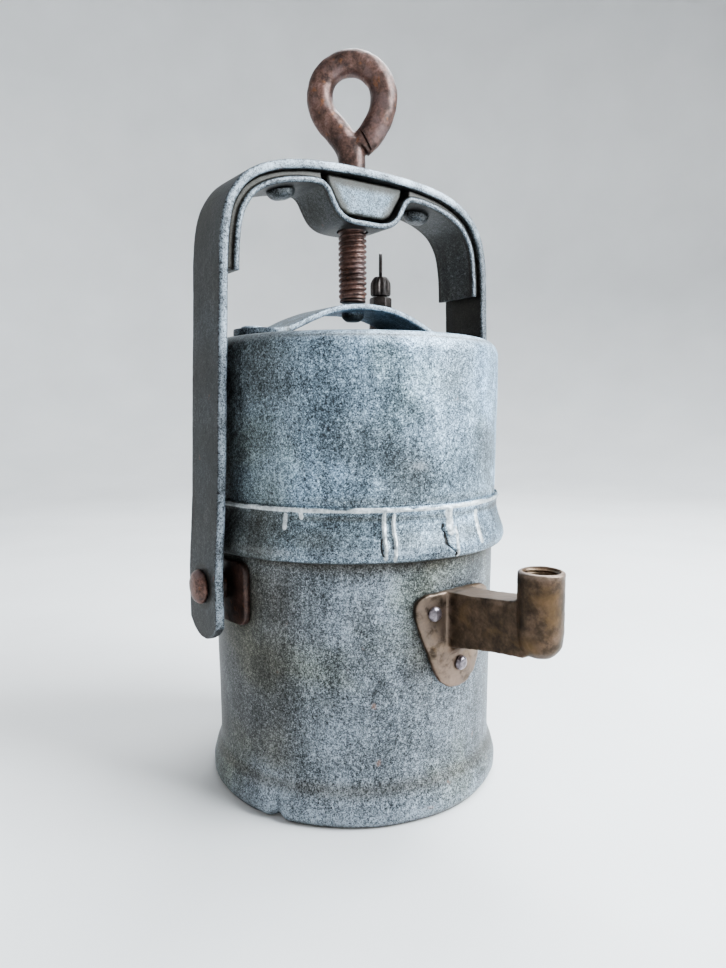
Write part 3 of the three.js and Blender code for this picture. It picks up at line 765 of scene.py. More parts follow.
def tank_dirt_and_shade(x, y, z):
    d = delta(x, y)
    # painted shade down the left side of the tank
    v = 0.80 * smooth(-46, -66, d) * smooth(-176, -130, d) * (0.7 + 0.3 * nz(x, y, z, 0.05, 9))
    v = max(v, 0.35 * math.exp(-((z - 99.2) / 1.6) ** 2))
    v = max(v, 0.30 * max(0, nz(x, y, z, 0.045, 14)) * 2)
    # painted shade on the tank behind the yoke arms
    for sx in (-1, 1):
        q = ((x - sx * 50) / 8) ** 2 + (y / 12) ** 2
        v = max(v, 0.75 * math.exp(-q))
    # painted shade inside the tank
    if hypot(x, y) < 48.1 and z < 147.6:
        v = max(v, 0.5)
    return clamp(v, 0, 1)


paint(tank, "wear", tank_wear)
paint(tank, "dirt_and_painted_shade", tank_dirt_and_shade)
shade(tank, 40)
place(tank, "tank", Z_TANK, ["tank_shell"])

# --------------------------------------------------------------- soldered collar
DRIPS = (  # (degrees from the front, half width deg, top z, bottom z, height)
    (-24.2, 0.75, 96.5, 82.6, 0.75), (-20.9, 0.65, 96.0, 82.0, 0.85), (-57.8, 0.9, 96.0, 91.0, 0.45),
    (0.6, 1.6, 97.0, 88.5, 1.0), (2.6, 0.75, 91.0, 81.8, 0.65), (15.1, 1.1, 95.0, 84.5, 0.24),
    (-52.0, 0.8, 97.0, 94.2, 0.5), (62, 1.2, 96, 88, 0.6), (118, 0.9, 96, 84, 0.7), (176, 1.4, 96.5, 86, 0.8), (-131, 1.0, 96, 90, 0.6),
)


def crack_line(z):
    """Jagged split in the solder blob: degrees from the front at height z."""
    t = (z - 81.6) / (92.8 - 81.6)
    return 2.3 - 4.6 * smooth(0.0, 0.55, t) + 0.35 * sin(z * 1.3) + 0.18 * sin(z * 3.1 + 1)


def collar_fn(x, y, z, outside):
    d = delta(x, y)
    h = s = c = 0.0
    if outside:
        n1 = fbm(x, y, z, 0.22, 40.0, 2)
        n2 = fbm(x, y, z, 0.6, 44.0, 2)
        # bead
        b = math.exp(-((z - 97.0 - 0.25 * n1) / 0.72) ** 2)
        h += b * (0.26 + 0.28 * n1 + 0.12 * n2) * smooth(98.05, 97.5, z)
        s = max(s, b * (0.95 + 0.5 * n1))
        for (at, w, zt, zb, k) in DRIPS:
            g = arc_gap(d, at + 0.5 * nz(0, 0, z, 0.3, at))
            if g > w * 4:
                continue
            along = smooth(zb - 0.8, zb + 1.0, z) * smooth(zt + 0.8, zt - 0.8, z)
            q = math.exp(-(g / w) ** 2) * along
            h += k * q * (0.8 + 0.45 * n2)
            s = max(s, min(1, 1.1 * q))
        if 81.6 < z < 92.8:
            g = abs(d - crack_line(z))
            c = math.exp(-(g / (0.55 + 0.25 * sin(z * 1.1))) ** 2) * smooth(81.6, 82.6, z) * smooth(92.8, 91.6, z)
            h -= 0.65 * c
        # curved nick beside the double ridge
        g = abs(d + 25.6 - 0.9 * ((z - 86.6) / 3.0) ** 2)
        if 83.2 < z < 89.8:
            q = math.exp(-(g / 0.45) ** 2) * smooth(83.2, 84.2, z) * smooth(89.8, 88.6, z)
            c = max(c, 0.9 * q)
            h -= 0.35 * q
        h += 0.10 * n1 + 0.035 * n2
    return max(h, -0.02) if z > 97.4 else h, s, c


outer = fillet([(49.80, 97.2), (49.82, 98.0, 0.1), (50.12, 97.9, 0.25), (50.22, 96.9, 0.5), (49.95, 95.4, 0.8), (49.95, 93.2, 3), (50.7, 90.3, 4), (52.2, 86.0, 3.0), (52.55, 84.0, 1.6), (51.8, 81.9, 1.0), (51.1, 81.5, 0.4)], n=8)
inner = fillet([(50.9, 82.3, 0.4), (51.0, 84.2, 1.5), (50.2, 87.6, 3), (49.1, 90.8, 2), (48.95, 97.2)], n=5)
nout = len(densify(outer, 0.30))
prof = densify(outer, 0.30) + densify(inner, 2.5)
cseg = 900


def collar_disp(x, y, z, r, a):
    rin = 50.95 if z < 84.5 else (50.95 - (z - 84.5) * 0.28)
    outside = r > max(49.3, min(rin + 0.25, 50.9))
    h, s, c = collar_fn(x, y, z, outside)
    sag = 0.25 * fbm(x, y, 0, 0.04, 50.0, 2) if z < 88 else 0.0
    return clamp(h + (0.12 * sag), -0.8, 1.0), (clamp(sag * smooth(88, 82, z), -0.05, 0.4) if z < 88 else 0.0)


collar = lathe("tank_collar_skirt", prof, cseg, collar_disp)
paint(collar, "solder", lambda x, y, z: collar_fn(x, y, z, hypot(x, y) > 49.4)[1])
paint(collar, "crack", lambda x, y, z: collar_fn(x, y, z, hypot(x, y) > 49.4)[2])
paint(collar, "wear", lambda x, y, z: clamp(0.65 * math.exp(-((z - 84.6) / 1.7) ** 2) * (0.6 + 0.5 * nz(x, y, z, 0.1, 3)), 0, 1))


def collar_dirt_and_shade(x, y, z):
    d = delta(x, y)
    # painted shade under the skirt's bottom edge
    v = 0.9 * smooth(82.6, 81.4, z)
    # painted shade down the left side
    v = max(v, 0.75 * smooth(-46, -70, d) * smooth(-176, -130, d))
    # painted shade just below the bead
    v = max(v, 0.45 * math.exp(-((z - 94.6) / 0.8) ** 2))
    v = max(v, 0.5 * smooth(84, 88, z) * smooth(94, 89, z) * max(0, 0.5 + nz(x, y, z, 0.08, 6)))
    # painted shade inside the skirt
    if hypot(x, y) < 51.0 and z < 90 and hypot(x, y) < 50.95 - (z - 84.5) * 0.28 + 0.2:
        v = 1.0
    return clamp(v, 0, 1)


paint(collar, "dirt_and_painted_shade", collar_dirt_and_shade)
shade(collar, 50)
place(collar, "tank", Z_COLLAR, ["tank_collar"])

# --------------------------------------------------------------- pressure strap
STRAP_TOP = [(0, 161.0), (8, 160.5), (15, 158.9), (22, 156.3), (28, 153.5), (31.5, 152.0), (34.5, 151.35), (39, 151.25), (44, 151.2)]


def path_sweep(name, line, section, closed_ends=True):
    """Sweeps a (across, out) section along an X-Z line; across runs along Y."""
    P = [Vector((x, z)) for x, z in line]
    verts, n, m = [], len(line), None
    for i, p in enumerate(P):
        t = (P[min(i + 1, n - 1)] - P[max(i - 1, 0)]).normalized()
        nrm = Vector((-t.y, t.x))
        sec = section(i / (n - 1), p)
        m = len(sec)
        for (w, o) in sec:
            q = p + nrm * o
            verts.append((q.x, w, q.y))
    faces = []
    for i in range(n - 1):
        for k in range(m):
            k2 = (k + 1) % m
            faces.append((i * m + k, i * m + k2, (i + 1) * m + k2, (i + 1) * m + k))
    faces.append(tuple(range(m))[::-1])
    faces.append(tuple((n - 1) * m + k for k in range(m)))
    return fix_normals(make(name, verts, faces))


def rrect(hw, t, r, n=4, cols=10):
    """Rounded rectangle section: half width hw, from 0 down to -t."""
    pts = fillet([(-hw, 0, r), (hw, 0, r), (hw, -t, r), (-hw, -t, r)], closed=True, n=n)
    out = []
    for a, b in zip(pts, pts[1:] + pts[:1]):
        out.append(a)
        L = hypot(b[0] - a[0], b[1] - a[1])
        if L > 3:
            for k in range(1, cols):
                out.append((a[0] + (b[0] - a[0]) * k / cols, a[1] + (b[1] - a[1]) * k / cols))
    return out


right = [tuple(p) for p in spline(STRAP_TOP, 8)]
line = [(-x, z) for x, z in reversed(right)][:-1] + right


def strap_section(u, p):
    ax = abs(p.x)
    hw = 10.9
    if ax > 35:
        q = clamp((ax - 35) / 9.1, 0, 1)
        hw = max(2.2, 10.9 * math.sqrt(max(0.0, 1 - q * q)) * 0.86 + 10.9 * 0.14 * (1 - q))
    return rrect(hw, 2.0, 0.55)


strap = path_sweep("strap_body", line, strap_section)
cup = lathe("cup", fillet([(0, 155.95), (2.3, 156.05, 1.2), (3.75, 157.3, 1.2), (3.95, 160.0, 0.3), (0, 160.0)], n=6), 48)
boolean(strap, cup, "UNION")
dish = lathe("dish", fillet([(0, 160.15), (2.4, 160.35, 1.0), (4.6, 161.9, 0.4), (0, 163)], n=5), 48)
boolean(strap, dish)
for i, x in enumerate((-38.5, 38.5)):
    boolean(strap, cyl("c%d" % i, 2.1, (x, 0, 140), (x, 0, 156), 24))
wobble(strap, 0.10, 0.09, 61.0, where=lambda x, y, z: smooth(150.0, 153.0, z))
paint(strap, "wear", lambda x, y, z: clamp(0.18 + 0.50 * smooth(9.9, 10.9, abs(y)) * (0.7 + 0.6 * nz(x, y, z, 0.2, 1)), 0, 1))


def strap_dirt_and_shade(x, y, z):
    v = 0.0
    if abs(x) > 31:
        v = 0.65 * math.exp(-((hypot(abs(x) - 38.5, y) - 4.2) / 0.7) ** 2)
        v = max(v, 0.5 * math.exp(-((abs(x) - 31.8) / 1.0) ** 2))
    # painted shade under the cup, over the screw's foot
    if hypot(x, y) < 4.2 and z < 158.6:
        v = 1.0
    return clamp(v + 0.25 * max(0, nz(x, y, z, 0.09, 3)), 0, 1)


paint(strap, "dirt_and_painted_shade", strap_dirt_and_shade)
shade(strap, 40)
strap.name = "pressure_strap_bow"
place(strap, "tank", Z_STRAP, ["pressure_strap"])


def dome(name, r, h, base, shank_r=None, shank_z=None, seg=40, amp=0.0, seed=0.0, flat=0.0):
    pts = []
    if shank_r:
        pts += [(0, shank_z), (shank_r, shank_z), (shank_r, base - 0.01)]
    else:
        pts += [(0, base)]
    pts.append((r * 0.97, base))
    n = 14
    for k in range(n + 1):
        t = k / n * pi / 2
        c = cos(t) ** (0.80 - 0.25 * flat)
        pts.append((r * c if k < n else 0, base + h * sin(t) ** 0.92 if k else base + h * 0.05))
    o = lathe(name, pts, seg)
    if amp:
        wobble(o, amp, 0.45, seed, where=lambda x, y, z: smooth(base, base + h * 0.35, z))
    return shade(o, 50)


for side, x, h in (("left", -38.5, 0.95), ("right", 38.5, 2.6)):
    o = dome("strap_rivet_head_" + side, 3.7, h, 151.5, 1.8, 146.9, amp=0.12, seed=x)
    shift(o, x)
    paint(o, "wear", lambda x, y, z: 0.8)
    paint(o, "dirt_and_painted_shade", lambda x, y, z: 0.0)
    place(o, "tank", Z_STRAP, ["strap_rivet_" + side])

# ------------------------------------------------------------------------- yoke
YOKE_OUT = [(57.6, 53.0), (57.6, 71), (57.55, 77.0), (56.75, 90), (56.0, 105), (54.9, 140), (54.2, 160), (53.9, 171),
            (53.2, 179.3), (51.8, 186.0), (49.4, 191.0), (45.6, 195.6), (40.0, 199.2), (32.4, 201.9), (22.0, 203.7), (10.0, 204.5), (0, 204.7)]
YT = 2.9


def offset_line(line, d):
    out = []
    n = len(line)
    for i, p in enumerate(line):
        a, b = line[max(i - 1, 0)], line[min(i + 1, n - 1)]
        tx, tz = b[0] - a[0], b[1] - a[1]
        L = hypot(tx, tz)
        out.append((p[0] - tz / L * d, p[1] + tx / L * d))
    return out


half = [tuple(p) for p in spline(YOKE_OUT, 6)]
full = half + [(-x, z) for x, z in reversed(half)][1:]
full = densify(full, 2.2)


def yoke_section(u, p):
    # edges are worn a little unevenly
    w = 0.10 * nz(p.x, 0, p.y, 0.10, 70.0)
    e = 0.72 + 0.2 * nz(p.x, 5, p.y, 0.12, 71.0)
    return [(a, -b) for a, b in rrect(10.35 + w, YT, clamp(e, 0.45, 1.0), 4, 8)]


strip = path_sweep("strip", full, yoke_section)
# blunt feet
for sx in (-1, 1):
    fo = fillet([(-12, 59.8), (-10.3, 59.6, 1.2), (-7.2, 56.6, 3), (-3.4, 54.7, 3), (0.0, 54.3, 4), (3.4, 54.7, 3), (7.2, 56.6, 3), (10.3, 59.6, 1.2), (12, 59.8), (12, 40), (-12, 40)], closed=True, n=5)
    boolean(strip, prism("footcut", fo, sx * 52, sx * 60, "YZ"))
    boolean(strip, cyl("pc", 3.15, (sx * 50, 0, 71), (sx * 60, 0, 71), 40))
    tilt = radians(9.8) * sx
    ax = Vector((sin(tilt), 0, cos(tilt)))
    c = Vector((sx * 29.0, 0, 202.5))
    boolean(strip, cyl("rc", 2.3, c - ax * 10, c + ax * 4, 24))
boolean(strip, cyl("sc", 5.4, (0, 0, 190), (0, 0, 212), 48))
remesh(strip, 0.42, 2, 0.5)
wobble(strip, 0.09, 0.05, 77.0)
wobble(strip, 0.03, 0.35, 78.0)


def strip_wear(x, y, z, v):
    # corners rubbed bright, the narrow front and rear faces half worn
    face = 0.42 * smooth(9.6, 10.1, abs(y)) * (0.75 + 0.5 * nz(x, y, z, 0.16, 2))
    if x < -50 and y < 0:
        face *= 1.5
    face *= 1 + 0.9 * smooth(185, 198, z)
    return max(v * (0.95 + 0.4 * nz(x, y, z, 0.12, 6)), face)


def strip_dirt_and_shade(x, y, z):
    v = 0.25 + 0.35 * nz(x, y, z, 0.06, 4)
    if abs(x) > 50:
        # painted shade on the arms' inner faces, turned to the tank
        inner = abs(x) < (54.9 if z < 80 else 54.9 - (z - 80) * 0.042)
        v += 0.5 if inner else 0.0
    v *= 1 - smooth(9.2, 10.1, abs(y))
    v = max(v, 0.7 * math.exp(-(((y) ** 2 + (z - 71) ** 2) ** 0.5 - 6.3) ** 2 / 1.6) * (1 if abs(x) > 50 and z < 90 else 0))
    return clamp(v, 0, 1)


paint(strip, "dirt_and_painted_shade", strip_dirt_and_shade)
edge_wear(strip, "wear", 2, 11.0, strip_wear)
shade(strip, 42)
strip.name = "yoke_strip_bent"
place(strip, "yoke", Z_YOKE, ["yoke_strip"])

# hat-shaped reinforcement
web = [p for p in offset_line([tuple(q) for q in spline(YOKE_OUT, 6)], 4.9) if p[1] > 168.5 and p[0] > 21]
hat = [(20.2, 198.75), (17.4, 198.45), (14.9, 196.6), (12.9, 193.2), (11.0, 190.4), (8.4, 188.7), (5.0, 188.1), (0, 188.05)]
start = (web[0][0] + 0.02, 167.4)
run = [start] + web[::2] + [tuple(p) for p in spline(hat, 5)]
thin = [run[0]]
for p in run[1:]:
    if hypot(p[0] - thin[-1][0], p[1] - thin[-1][1]) > 0.35 and p[0] > 0.4:
        thin.append(p)
thin.append((0.0, 188.05))
run = thin
run_full = densify(run + [(-x, z) for x, z in reversed(run)][1:], 1.3)


def reinf_section(u, p):
    e = 0.70 + 0.2 * nz(p.x, 2, p.y, 0.15, 81.0)
    return [(a, -b) for a, b in rrect(9.85 + 0.08 * nz(p.x, 0, p.y, 0.15, 80.0), 1.9, clamp(e, 0.5, 0.9), 4, 6)]


reinf = path_sweep("reinf", run_full, reinf_section)
core_line = [p for p in offset_line([tuple(q) for q in spline(YOKE_OUT, 6)], YT + 0.15) if p[1] > 168.3 and p[0] > 16.5]
core_line = [(core_line[0][0], 167.8)] + core_line
cores = []
for sx in (1, -1):
    ln = [(sx * x, z) for x, z in core_line]
    s = -1 if sx > 0 else 1
    cores.append(path_sweep("core%d" % sx, densify(ln, 2.0), lambda u, p, s=s: [(a, b if s > 0 else -b) for a, b in rrect(8.6, 2.5, 0.5, 3, 5)]))
reinf = join("reinf", [reinf] + cores)
remesh(reinf, 0.30, 2, 0.5)
boolean(reinf, cyl("sc2", 5.4, (0, 0, 170), (0, 0, 197), 48))
for sx in (-1, 1):
    tilt = radians(9.8) * sx
    ax = Vector((sin(tilt), 0, cos(tilt)))
    c = Vector((sx * 29.0, 0, 202.5))
    boolean(reinf, cyl("rc", 2.3, c - ax * 12, c + ax * 4, 24))
wobble(reinf, 0.08, 0.07, 83.0)


def reinf_wear(x, y, z, v):
    face = 0.45 * smooth(9.1, 9.6, abs(y)) * (0.75 + 0.5 * nz(x, y, z, 0.2, 5))
    return max(v * (0.9 + 0.4 * nz(x, y, z, 0.15, 8)), face)


def reinf_dirt_and_shade(x, y, z):
    v = 0.55 + 0.3 * nz(x, y, z, 0.07, 2)
    v *= 1 - smooth(9.0, 9.6, abs(y))
    # painted shade in the groove between the strip and the reinforcement
    if 8.0 < abs(y) < 8.9:
        v = max(v, 0.85)
    return clamp(v, 0, 1)


paint(reinf, "dirt_and_painted_shade", reinf_dirt_and_shade)
edge_wear(reinf, "wear", 2, 13.0, reinf_wear)
shade(reinf, 42)
reinf.name = "yoke_reinforcement_hat"
place(reinf, "yoke", Z_YOKE_IN, ["yoke_reinforcement"])

nb = fillet([(15.3, 201.3, 0.8), (14.8, 198.2, 2), (12.1, 193.7, 2), (10.1, 190.8, 2), (7.4, 189.5, 1.5), (-7.4, 189.5, 1.5),
             (-10.1, 190.8, 2), (-12.1, 193.7, 2), (-14.8, 198.2, 2), (-15.3, 201.3, 0.8)], closed=True, n=4)
nut = prism("nut", nb, -7.9, 7.9, "XZ")
boolean(nut, cyl("nc", 5.35, (0, 0, 180), (0, 0, 212), 48))
bevel(nut, 0.9, 4, 50)
remesh(nut, 0.36, 2, 0.5)


def nut_dirt_and_shade(x, y, z):
    """Painted shade with dirt: the face darkens towards its rim, in the recess."""
    half = np.interp(z, (189.5, 190.8, 193.7, 198.2, 201.3), (7.4, 10.1, 12.1, 14.8, 15.3))
    side = half - abs(x) + 0.5 * nz(x, y, z, 0.25, 3)
    return clamp(max(smooth(5.0, 1.6, side), smooth(4.6, 1.6, 201.3 - z), 0.8 * smooth(1.6, 0.3, z - 189.5)), 0, 1)


paint(nut, "wear", lambda x, y, z: 0.75 * (0.6 + 0.5 * nz(x, y, z, 0.3, 1)))
paint(nut, "dirt_and_painted_shade", nut_dirt_and_shade)
shade(nut, 40)
nut.name = "yoke_nut_block"
place(nut, "yoke", Z_NUT, ["nut_block"])

for side, sx in (("left", -1), ("right", 1)):
    o = dome("yoke_rivet_head_" + side, 4.6, 2.9, 0, 2.0, -6.7, amp=0.15, seed=3 + sx, flat=0.4)
    o.data.transform(Matrix.Rotation(pi, 4, "X"))
    shift(o, 0, 0, -7.0)
    turn(o, 9.8 * sx, "Y")
    shift(o, sx * 29.0, 0, 202.5)
    paint(o, "wear", lambda x, y, z: 0.35)
    paint(o, "dirt_and_painted_shade", lambda x, y, z: 0.35)
    place(o, "yoke", Z_YOKE_IN, ["yoke_rivet_" + side])


# ------------------------------------------------------------ pivots of the yoke
def wrap(o, r_mid, side):
    """Bends a flat plate (x across, y along, z = radius) onto the pot's side."""
    me = o.data
    for v in me.vertices:
        a = v.co.x / MM / r_mid + side
        r = v.co.z / MM
        v.co = Vector((r * cos(a), r * sin(a), v.co.y / MM)) * MM
    me.update()
    return o


for side, sx in (("left", -1), ("right", 1)):
    base = 0.0 if sx > 0 else pi
    # soldered pad under the pivot
    ol = fillet([(-12.6, 59.2, 3.5), (12.6, 59.2, 3.5), (12.6, 79.2, 3.5), (-12.6, 79.2, 3.5)], closed=True, n=6)
    pad = prism("pad", [(u, v) for u, v in ol], 48.2, 50.6, "XY")
    remesh(pad, 0.55, 4)
    wobble(pad, 0.12, 0.18, 90 + sx)
    wrap(pad, 49.8, base)
    fix_normals(pad)
    paint(pad, "wear", lambda x, y, z: 0.25 * max(0, nz(x, y, z, 0.2, 3)) * 2)
    paint(pad, "dirt_and_painted_shade", lambda x, y, z: 0.8)
    shade(pad, 50)
    pad.name = "pivot_pad_plate_" + side
    place(pad, "pot", PAD, ["pivot_pad_" + side])

    def pivot_turned(name, prof, mat, node, amp, seed):
        o = lathe(name, prof, 64)
        wobble(o, amp, 0.35, seed)
        o.data.transform(Matrix.Rotation(radians(90 * sx), 4, "Y"))
        shift(o, 0, 0, 71)
        shade(o, 45)
        return place(o, "pot", mat, [node])

    pivot_turned("pivot_spacer_ring_" + side, densify(fillet([(3.0, 51.15), (5.15, 51.15, 0.4), (5.15, 54.35, 0.4), (3.0, 54.35)], closed=True, n=4), 0.6), RUST_DARK, "pivot_spacer_" + side, 0.05, 95 + sx)
    pivot_turned("pivot_washer_ring_" + side, densify(fillet([(3.0, 44.75), (5.55, 44.75, 0.3), (5.55, 46.2, 0.3), (3.0, 46.2)], closed=True, n=4), 0.6), RUST_DARK, "pivot_washer_" + side, 0.04, 97 + sx)
    head = [(0, 42.75), (3.9, 42.8), (4.5, 43.4), (4.5, 44.4), (2.75, 44.45), (2.75, 57.95), (5.25, 57.95), (5.45, 58.35),
            (5.30, 59.0), (4.75, 59.75), (3.9, 60.3), (2.7, 60.7), (1.4, 60.88), (0, 60.92)]
    pivot_turned("pivot_rivet_turned_" + side, densify(head[:6], 1.2) + densify(head[6:], 0.35), RUST_PIVOT, "pivot_rivet_" + side, 0.075, 99 + sx)

# -------------------------------------------------------------- inner containers
tin = lathe("carbide_tin_can", densify(fillet([(0, 1.95), (39.6, 1.95, 0.5), (40.9, 3.5, 1.5), (40.95, 69.95, 0.3), (39.9, 69.95, 0.3), (39.85, 3.1, 1.2), (0, 3.1)], n=4), 3), 144,
            lambda x, y, z, r, a: (0.10 * fbm(x, y, z, 0.05, 22.0, 2) if r > 30 else 0, 0))
shade(tin, 45)
place(tin, "pot", TIN, ["carbide_tin"])
o = lathe("rim_gasket_ring", densify(fillet([(44.25, 94.35), (48.5, 94.35, 0.8), (48.5, 97.25, 0.8), (44.25, 97.25)], closed=True, n=4), 1), 144)
shade(o, 45)
place(o, "tank", RUBBER, ["rim_gasket"])
o = lathe("tank_floor_plate", densify(fillet([(3.05, 97.95), (47.3, 97.95, 0.5), (47.3, 99.25, 0.4), (3.05, 99.25)], closed=True, n=3), 3), 144,
          lambda x, y, z, r, a: (0, 0.12 * fbm(x, y, 0, 0.05, 4.0, 2) * smooth(46, 40, r) * smooth(6, 10, r) if z > 98.5 else 0.0))
paint(o, "wear", lambda x, y, z: 0.1)
paint(o, "dirt_and_painted_shade", lambda x, y, z: 0.6)
shade(o, 45)
place(o, "tank", Z_TANK, ["tank_floor"])

# -------------------------------------------------------------------- water valve
VX, VY = 24.5, 17.0


def turned(name, prof, mat, body, node, cx, cy, seg=56, step=0.7, ang=40, amp=0.0):
    o = lathe(name, densify(prof, step), seg)
    if amp:
        wobble(o, amp, 0.4, len(name))
    shift(o, cx, cy, 0)
    shade(o, ang)
    return place(o, body, mat, [node] if isinstance(node, str) else node)


turned("valve_seat_tube", fillet([(1.22, 84.5), (2.4, 84.5, 0.3), (2.88, 86, 0.4), (2.88, 99.6), (5.55, 99.6, 0.2), (5.55, 101.15, 0.4), (3.6, 102.6, 0.5), (2.6, 102.6, 0.3), (1.22, 100.9)], closed=True, n=3), VALVE, "tank", "valve_seat", VX, VY)
turned("valve_boss_turned", fillet([(2.3, 145.5), (2.88, 145.5), (2.88, 149.3), (6.4, 149.3, 0.2), (6.25, 150.9, 0.5), (4.3, 156.8, 1.2), (4.05, 160.4, 0.3), (2.88, 160.4, 0.2), (2.88, 163.4, 0.2), (2.0, 163.4), (2.0, 150)], closed=True, n=4), VALVE, "tank", "valve_boss", VX, VY, amp=0.04)
turned("gland_packing_ring", fillet([(1.82, 163.75), (2.85, 163.75, 0.2), (2.85, 165.45, 0.2), (1.82, 165.45)], closed=True, n=3), RUBBER, "tank", "gland_packing", VX, VY)

hexo = [(4.3 * cos(radians(60 * k + 20)), 4.3 * sin(radians(60 * k + 20)), 0.45) for k in range(6)]
nuto = prism("nutp", fillet(hexo, closed=True, n=3), 160.85, 168.15, "XY")
cone = lathe("cone", [(0, 158), (3.2, 158.0), (4.4, 161.4), (4.4, 167.4), (3.7, 168.4), (0, 168.4)], 48)
boolean(nuto, cone, "INTERSECT")
boolean(nuto, cyl("nb", 1.82, (0, 0, 158), (0, 0, 172), 32))
boolean(nuto, cyl("nb2", 3.0, (0, 0, 158), (0, 0, 165.5), 32))
bevel(nuto, 0.18, 2, 40)
shift(nuto, VX, VY, 0)
shade(nuto, 35)
nuto.name = "gland_nut_hex"
place(nuto, "tank", VALVE, ["gland_nut"])
turned("valve_spindle_rod", fillet([(0, 101.6), (0.9, 102.4), (1.48, 104.0, 0.5), (1.48, 173.1, 0.2), (0, 173.1)], n=3), VALVE, "valve", "valve_spindle", VX, VY)

# fluted knob
verts, faces, KS = [], [], 120
kz = [(168.75, 2.6), (168.9, 3.5), (169.5, 3.85), (170.5, 3.88), (172.6, 3.88), (173.6, 3.8), (174.6, 3.35), (175.4, 2.85), (175.85, 2.45)]
for z, r in kz:
    for k in range(KS):
        a = 2 * pi * k / KS
        f = 0.5 + 0.5 * cos(10 * a)
        rr = r - 0.55 * (1 - f) ** 1.6 * smooth(168.8, 169.8, z) * smooth(175.6, 174.0, z)
        verts.append((rr * cos(a), rr * sin(a), z))
for i in range(len(kz) - 1):
    for k in range(KS):
        k2 = (k + 1) % KS
        faces.append((i * KS + k, i * KS + k2, (i + 1) * KS + k2, (i + 1) * KS + k))
faces.append(tuple(range(KS))[::-1])
faces.append(tuple((len(kz) - 1) * KS + k for k in range(KS)))
knob = fix_normals(make("valve_knob_fluted", verts, faces))
boolean(knob, cyl("kb", 1.55, (0, 0, 168), (0, 0, 173.2), 32))
shift(knob, VX, VY)
shade(knob, 38)
place(knob, "valve", VALVE, ["valve_knob"])
wing_o = fillet([(-3.0, 176.0), (-4.9, 177.6, 1.5), (-4.4, 181.3, 2.5), (-2.2, 184.2, 1.5), (0, 185.1, 1.5), (2.2, 184.2, 1.5), (4.4, 181.3, 2.5), (4.9, 177.6, 1.5), (3.0, 176.0), (2.6, 175.9), (-2.6, 175.9)], closed=True, n=6)
wing = prism("wing", wing_o, -0.62, 0.62, "XZ")
bevel(wing, 0.38, 3, 40)
turn(wing, 54.2)
shift(wing, VX, VY)
shade(wing, 50)
wing.name = "valve_wing_blade"
place(wing, "valve", VALVE, ["valve_wing"])

# ------------------------------------------------------------------ filler and plug
FX, FY = -17.5, 29.7
turned("filler_bush_ring", fillet([(4.42, 145.8), (4.88, 145.8), (4.88, 149.3), (6.75, 149.3, 0.2), (6.75, 151.15, 0.4), (4.42, 151.15)], closed=True, n=3), VALVE, "tank", "filler_bush", FX, FY)
turned("filler_washer_ring", fillet([(4.42, 151.52), (6.5, 151.52, 0.3), (6.5, 152.45, 0.3), (4.42, 152.45)], closed=True, n=3), RUBBER, "filler_seal", "filler_washer", FX, FY)
verts, faces, KS = [], [], 144
kz = [(0.0, 146.45), (3.6, 146.45), (4.05, 147.0), (4.05, 152.8), (6.6, 152.8), (6.9, 153.0), (6.95, 153.6), (6.85, 154.1), (6.2, 154.7), (5.0, 154.9), (3.4, 155.2), (0, 155.45)]
plug = lathe("filler_plug_turned", densify(kz, 0.35), KS, lambda x, y, z, r, a: ((-0.22 * (0.5 + 0.5 * cos(36 * a)) * smooth(6.3, 6.8, r)), 0))
boolean(plug, prism("slotcut", [(-7.5, -0.7), (7.5, -0.7), (7.5, 0.7), (-7.5, 0.7)], 154.75, 157, "XY"))
turn(plug, 25)
shift(plug, FX, FY)
shade(plug, 35)
place(plug, "filler", BRASS_IN, ["filler_plug"])


# ----------------------------------------------------------------- burner bracket
FL = [(-4.5, 71.6, 1), (-12.5, 71.0, 3), (-15.6, 69.4, 2.5), (-16.4, 66.6, 4), (-15.9, 63.4, 4), (-12.9, 55.4, 9), (-9.7, 47.6, 9), (-7.4, 43.6, 4), (-4.2, 41.2, 3), (0, 40.5, 4),
      (4.2, 41.2, 3), (7.4, 43.6, 4), (9.7, 47.6, 9), (12.9, 55.4, 9), (15.9, 63.4, 4), (16.4, 66.6, 4), (15.6, 69.4, 2.5), (12.5, 71.0, 3), (4.5, 71.6, 1)]
flange = prism("flange", fillet(FL, closed=True, n=4), 48.85, 51.05, "XY")
remesh(flange, 0.5, 2)
wrap(flange, 50.0, 0.0)
fix_normals(flange)
AO = fillet([(49.6, 71.3), (60, 71.7, 20), (78.5, 73.6), (81.5, 72.0), (81.5, 60.0), (79.0, 58.0, 1.5), (68, 56.9, 12), (60, 55.6, 12), (49.6, 54.05)], closed=True, n=5)
arm = prism("arm", AO, -5.3, 5.3, "XZ", 6)
web = prism("armweb", fillet([(49.7, 60.0), (49.7, 50.5, 1.5), (52.6, 53.4, 3), (57.5, 56.0, 3), (58.5, 60)], closed=True, n=4), -4.4, 4.4, "XZ", 2)
tube = lathe("tube", fillet([(0, 57.75), (3.6, 58.2, 3.0), (6.0, 60.6, 4.0), (6.5, 65.5, 5), (6.5, 80.6), (6.6, 82, 0.6), (0, 82)], n=7), 96, center=(80.8, 0))
parts = [flange, arm, web, tube]
br = join("burner_bracket_cast", parts)
remesh(br, 0.40, 5, 0.5)
wobble(br, 0.13, 0.12, 110.0)
wobble(br, 0.05, 0.5, 113.0)
BA = -90 + 5.2
boolean(br, cyl("bore", 5.35, (80.8, 0, 67.9), (80.8, 0, 90), 96))
boolean(br, cyl("gas", 2.0, (80.8, 0, 62.5), (45.0, 0, 62.5), 32))
boolean(br, cyl("gas2", 2.0, (80.8, 0, 62.5), (80.8, 0, 69), 32))
cut = cyl("potclear", 48.62, (0, 0, 20), (0, 0, 90), 200)
boolean(br, cut)


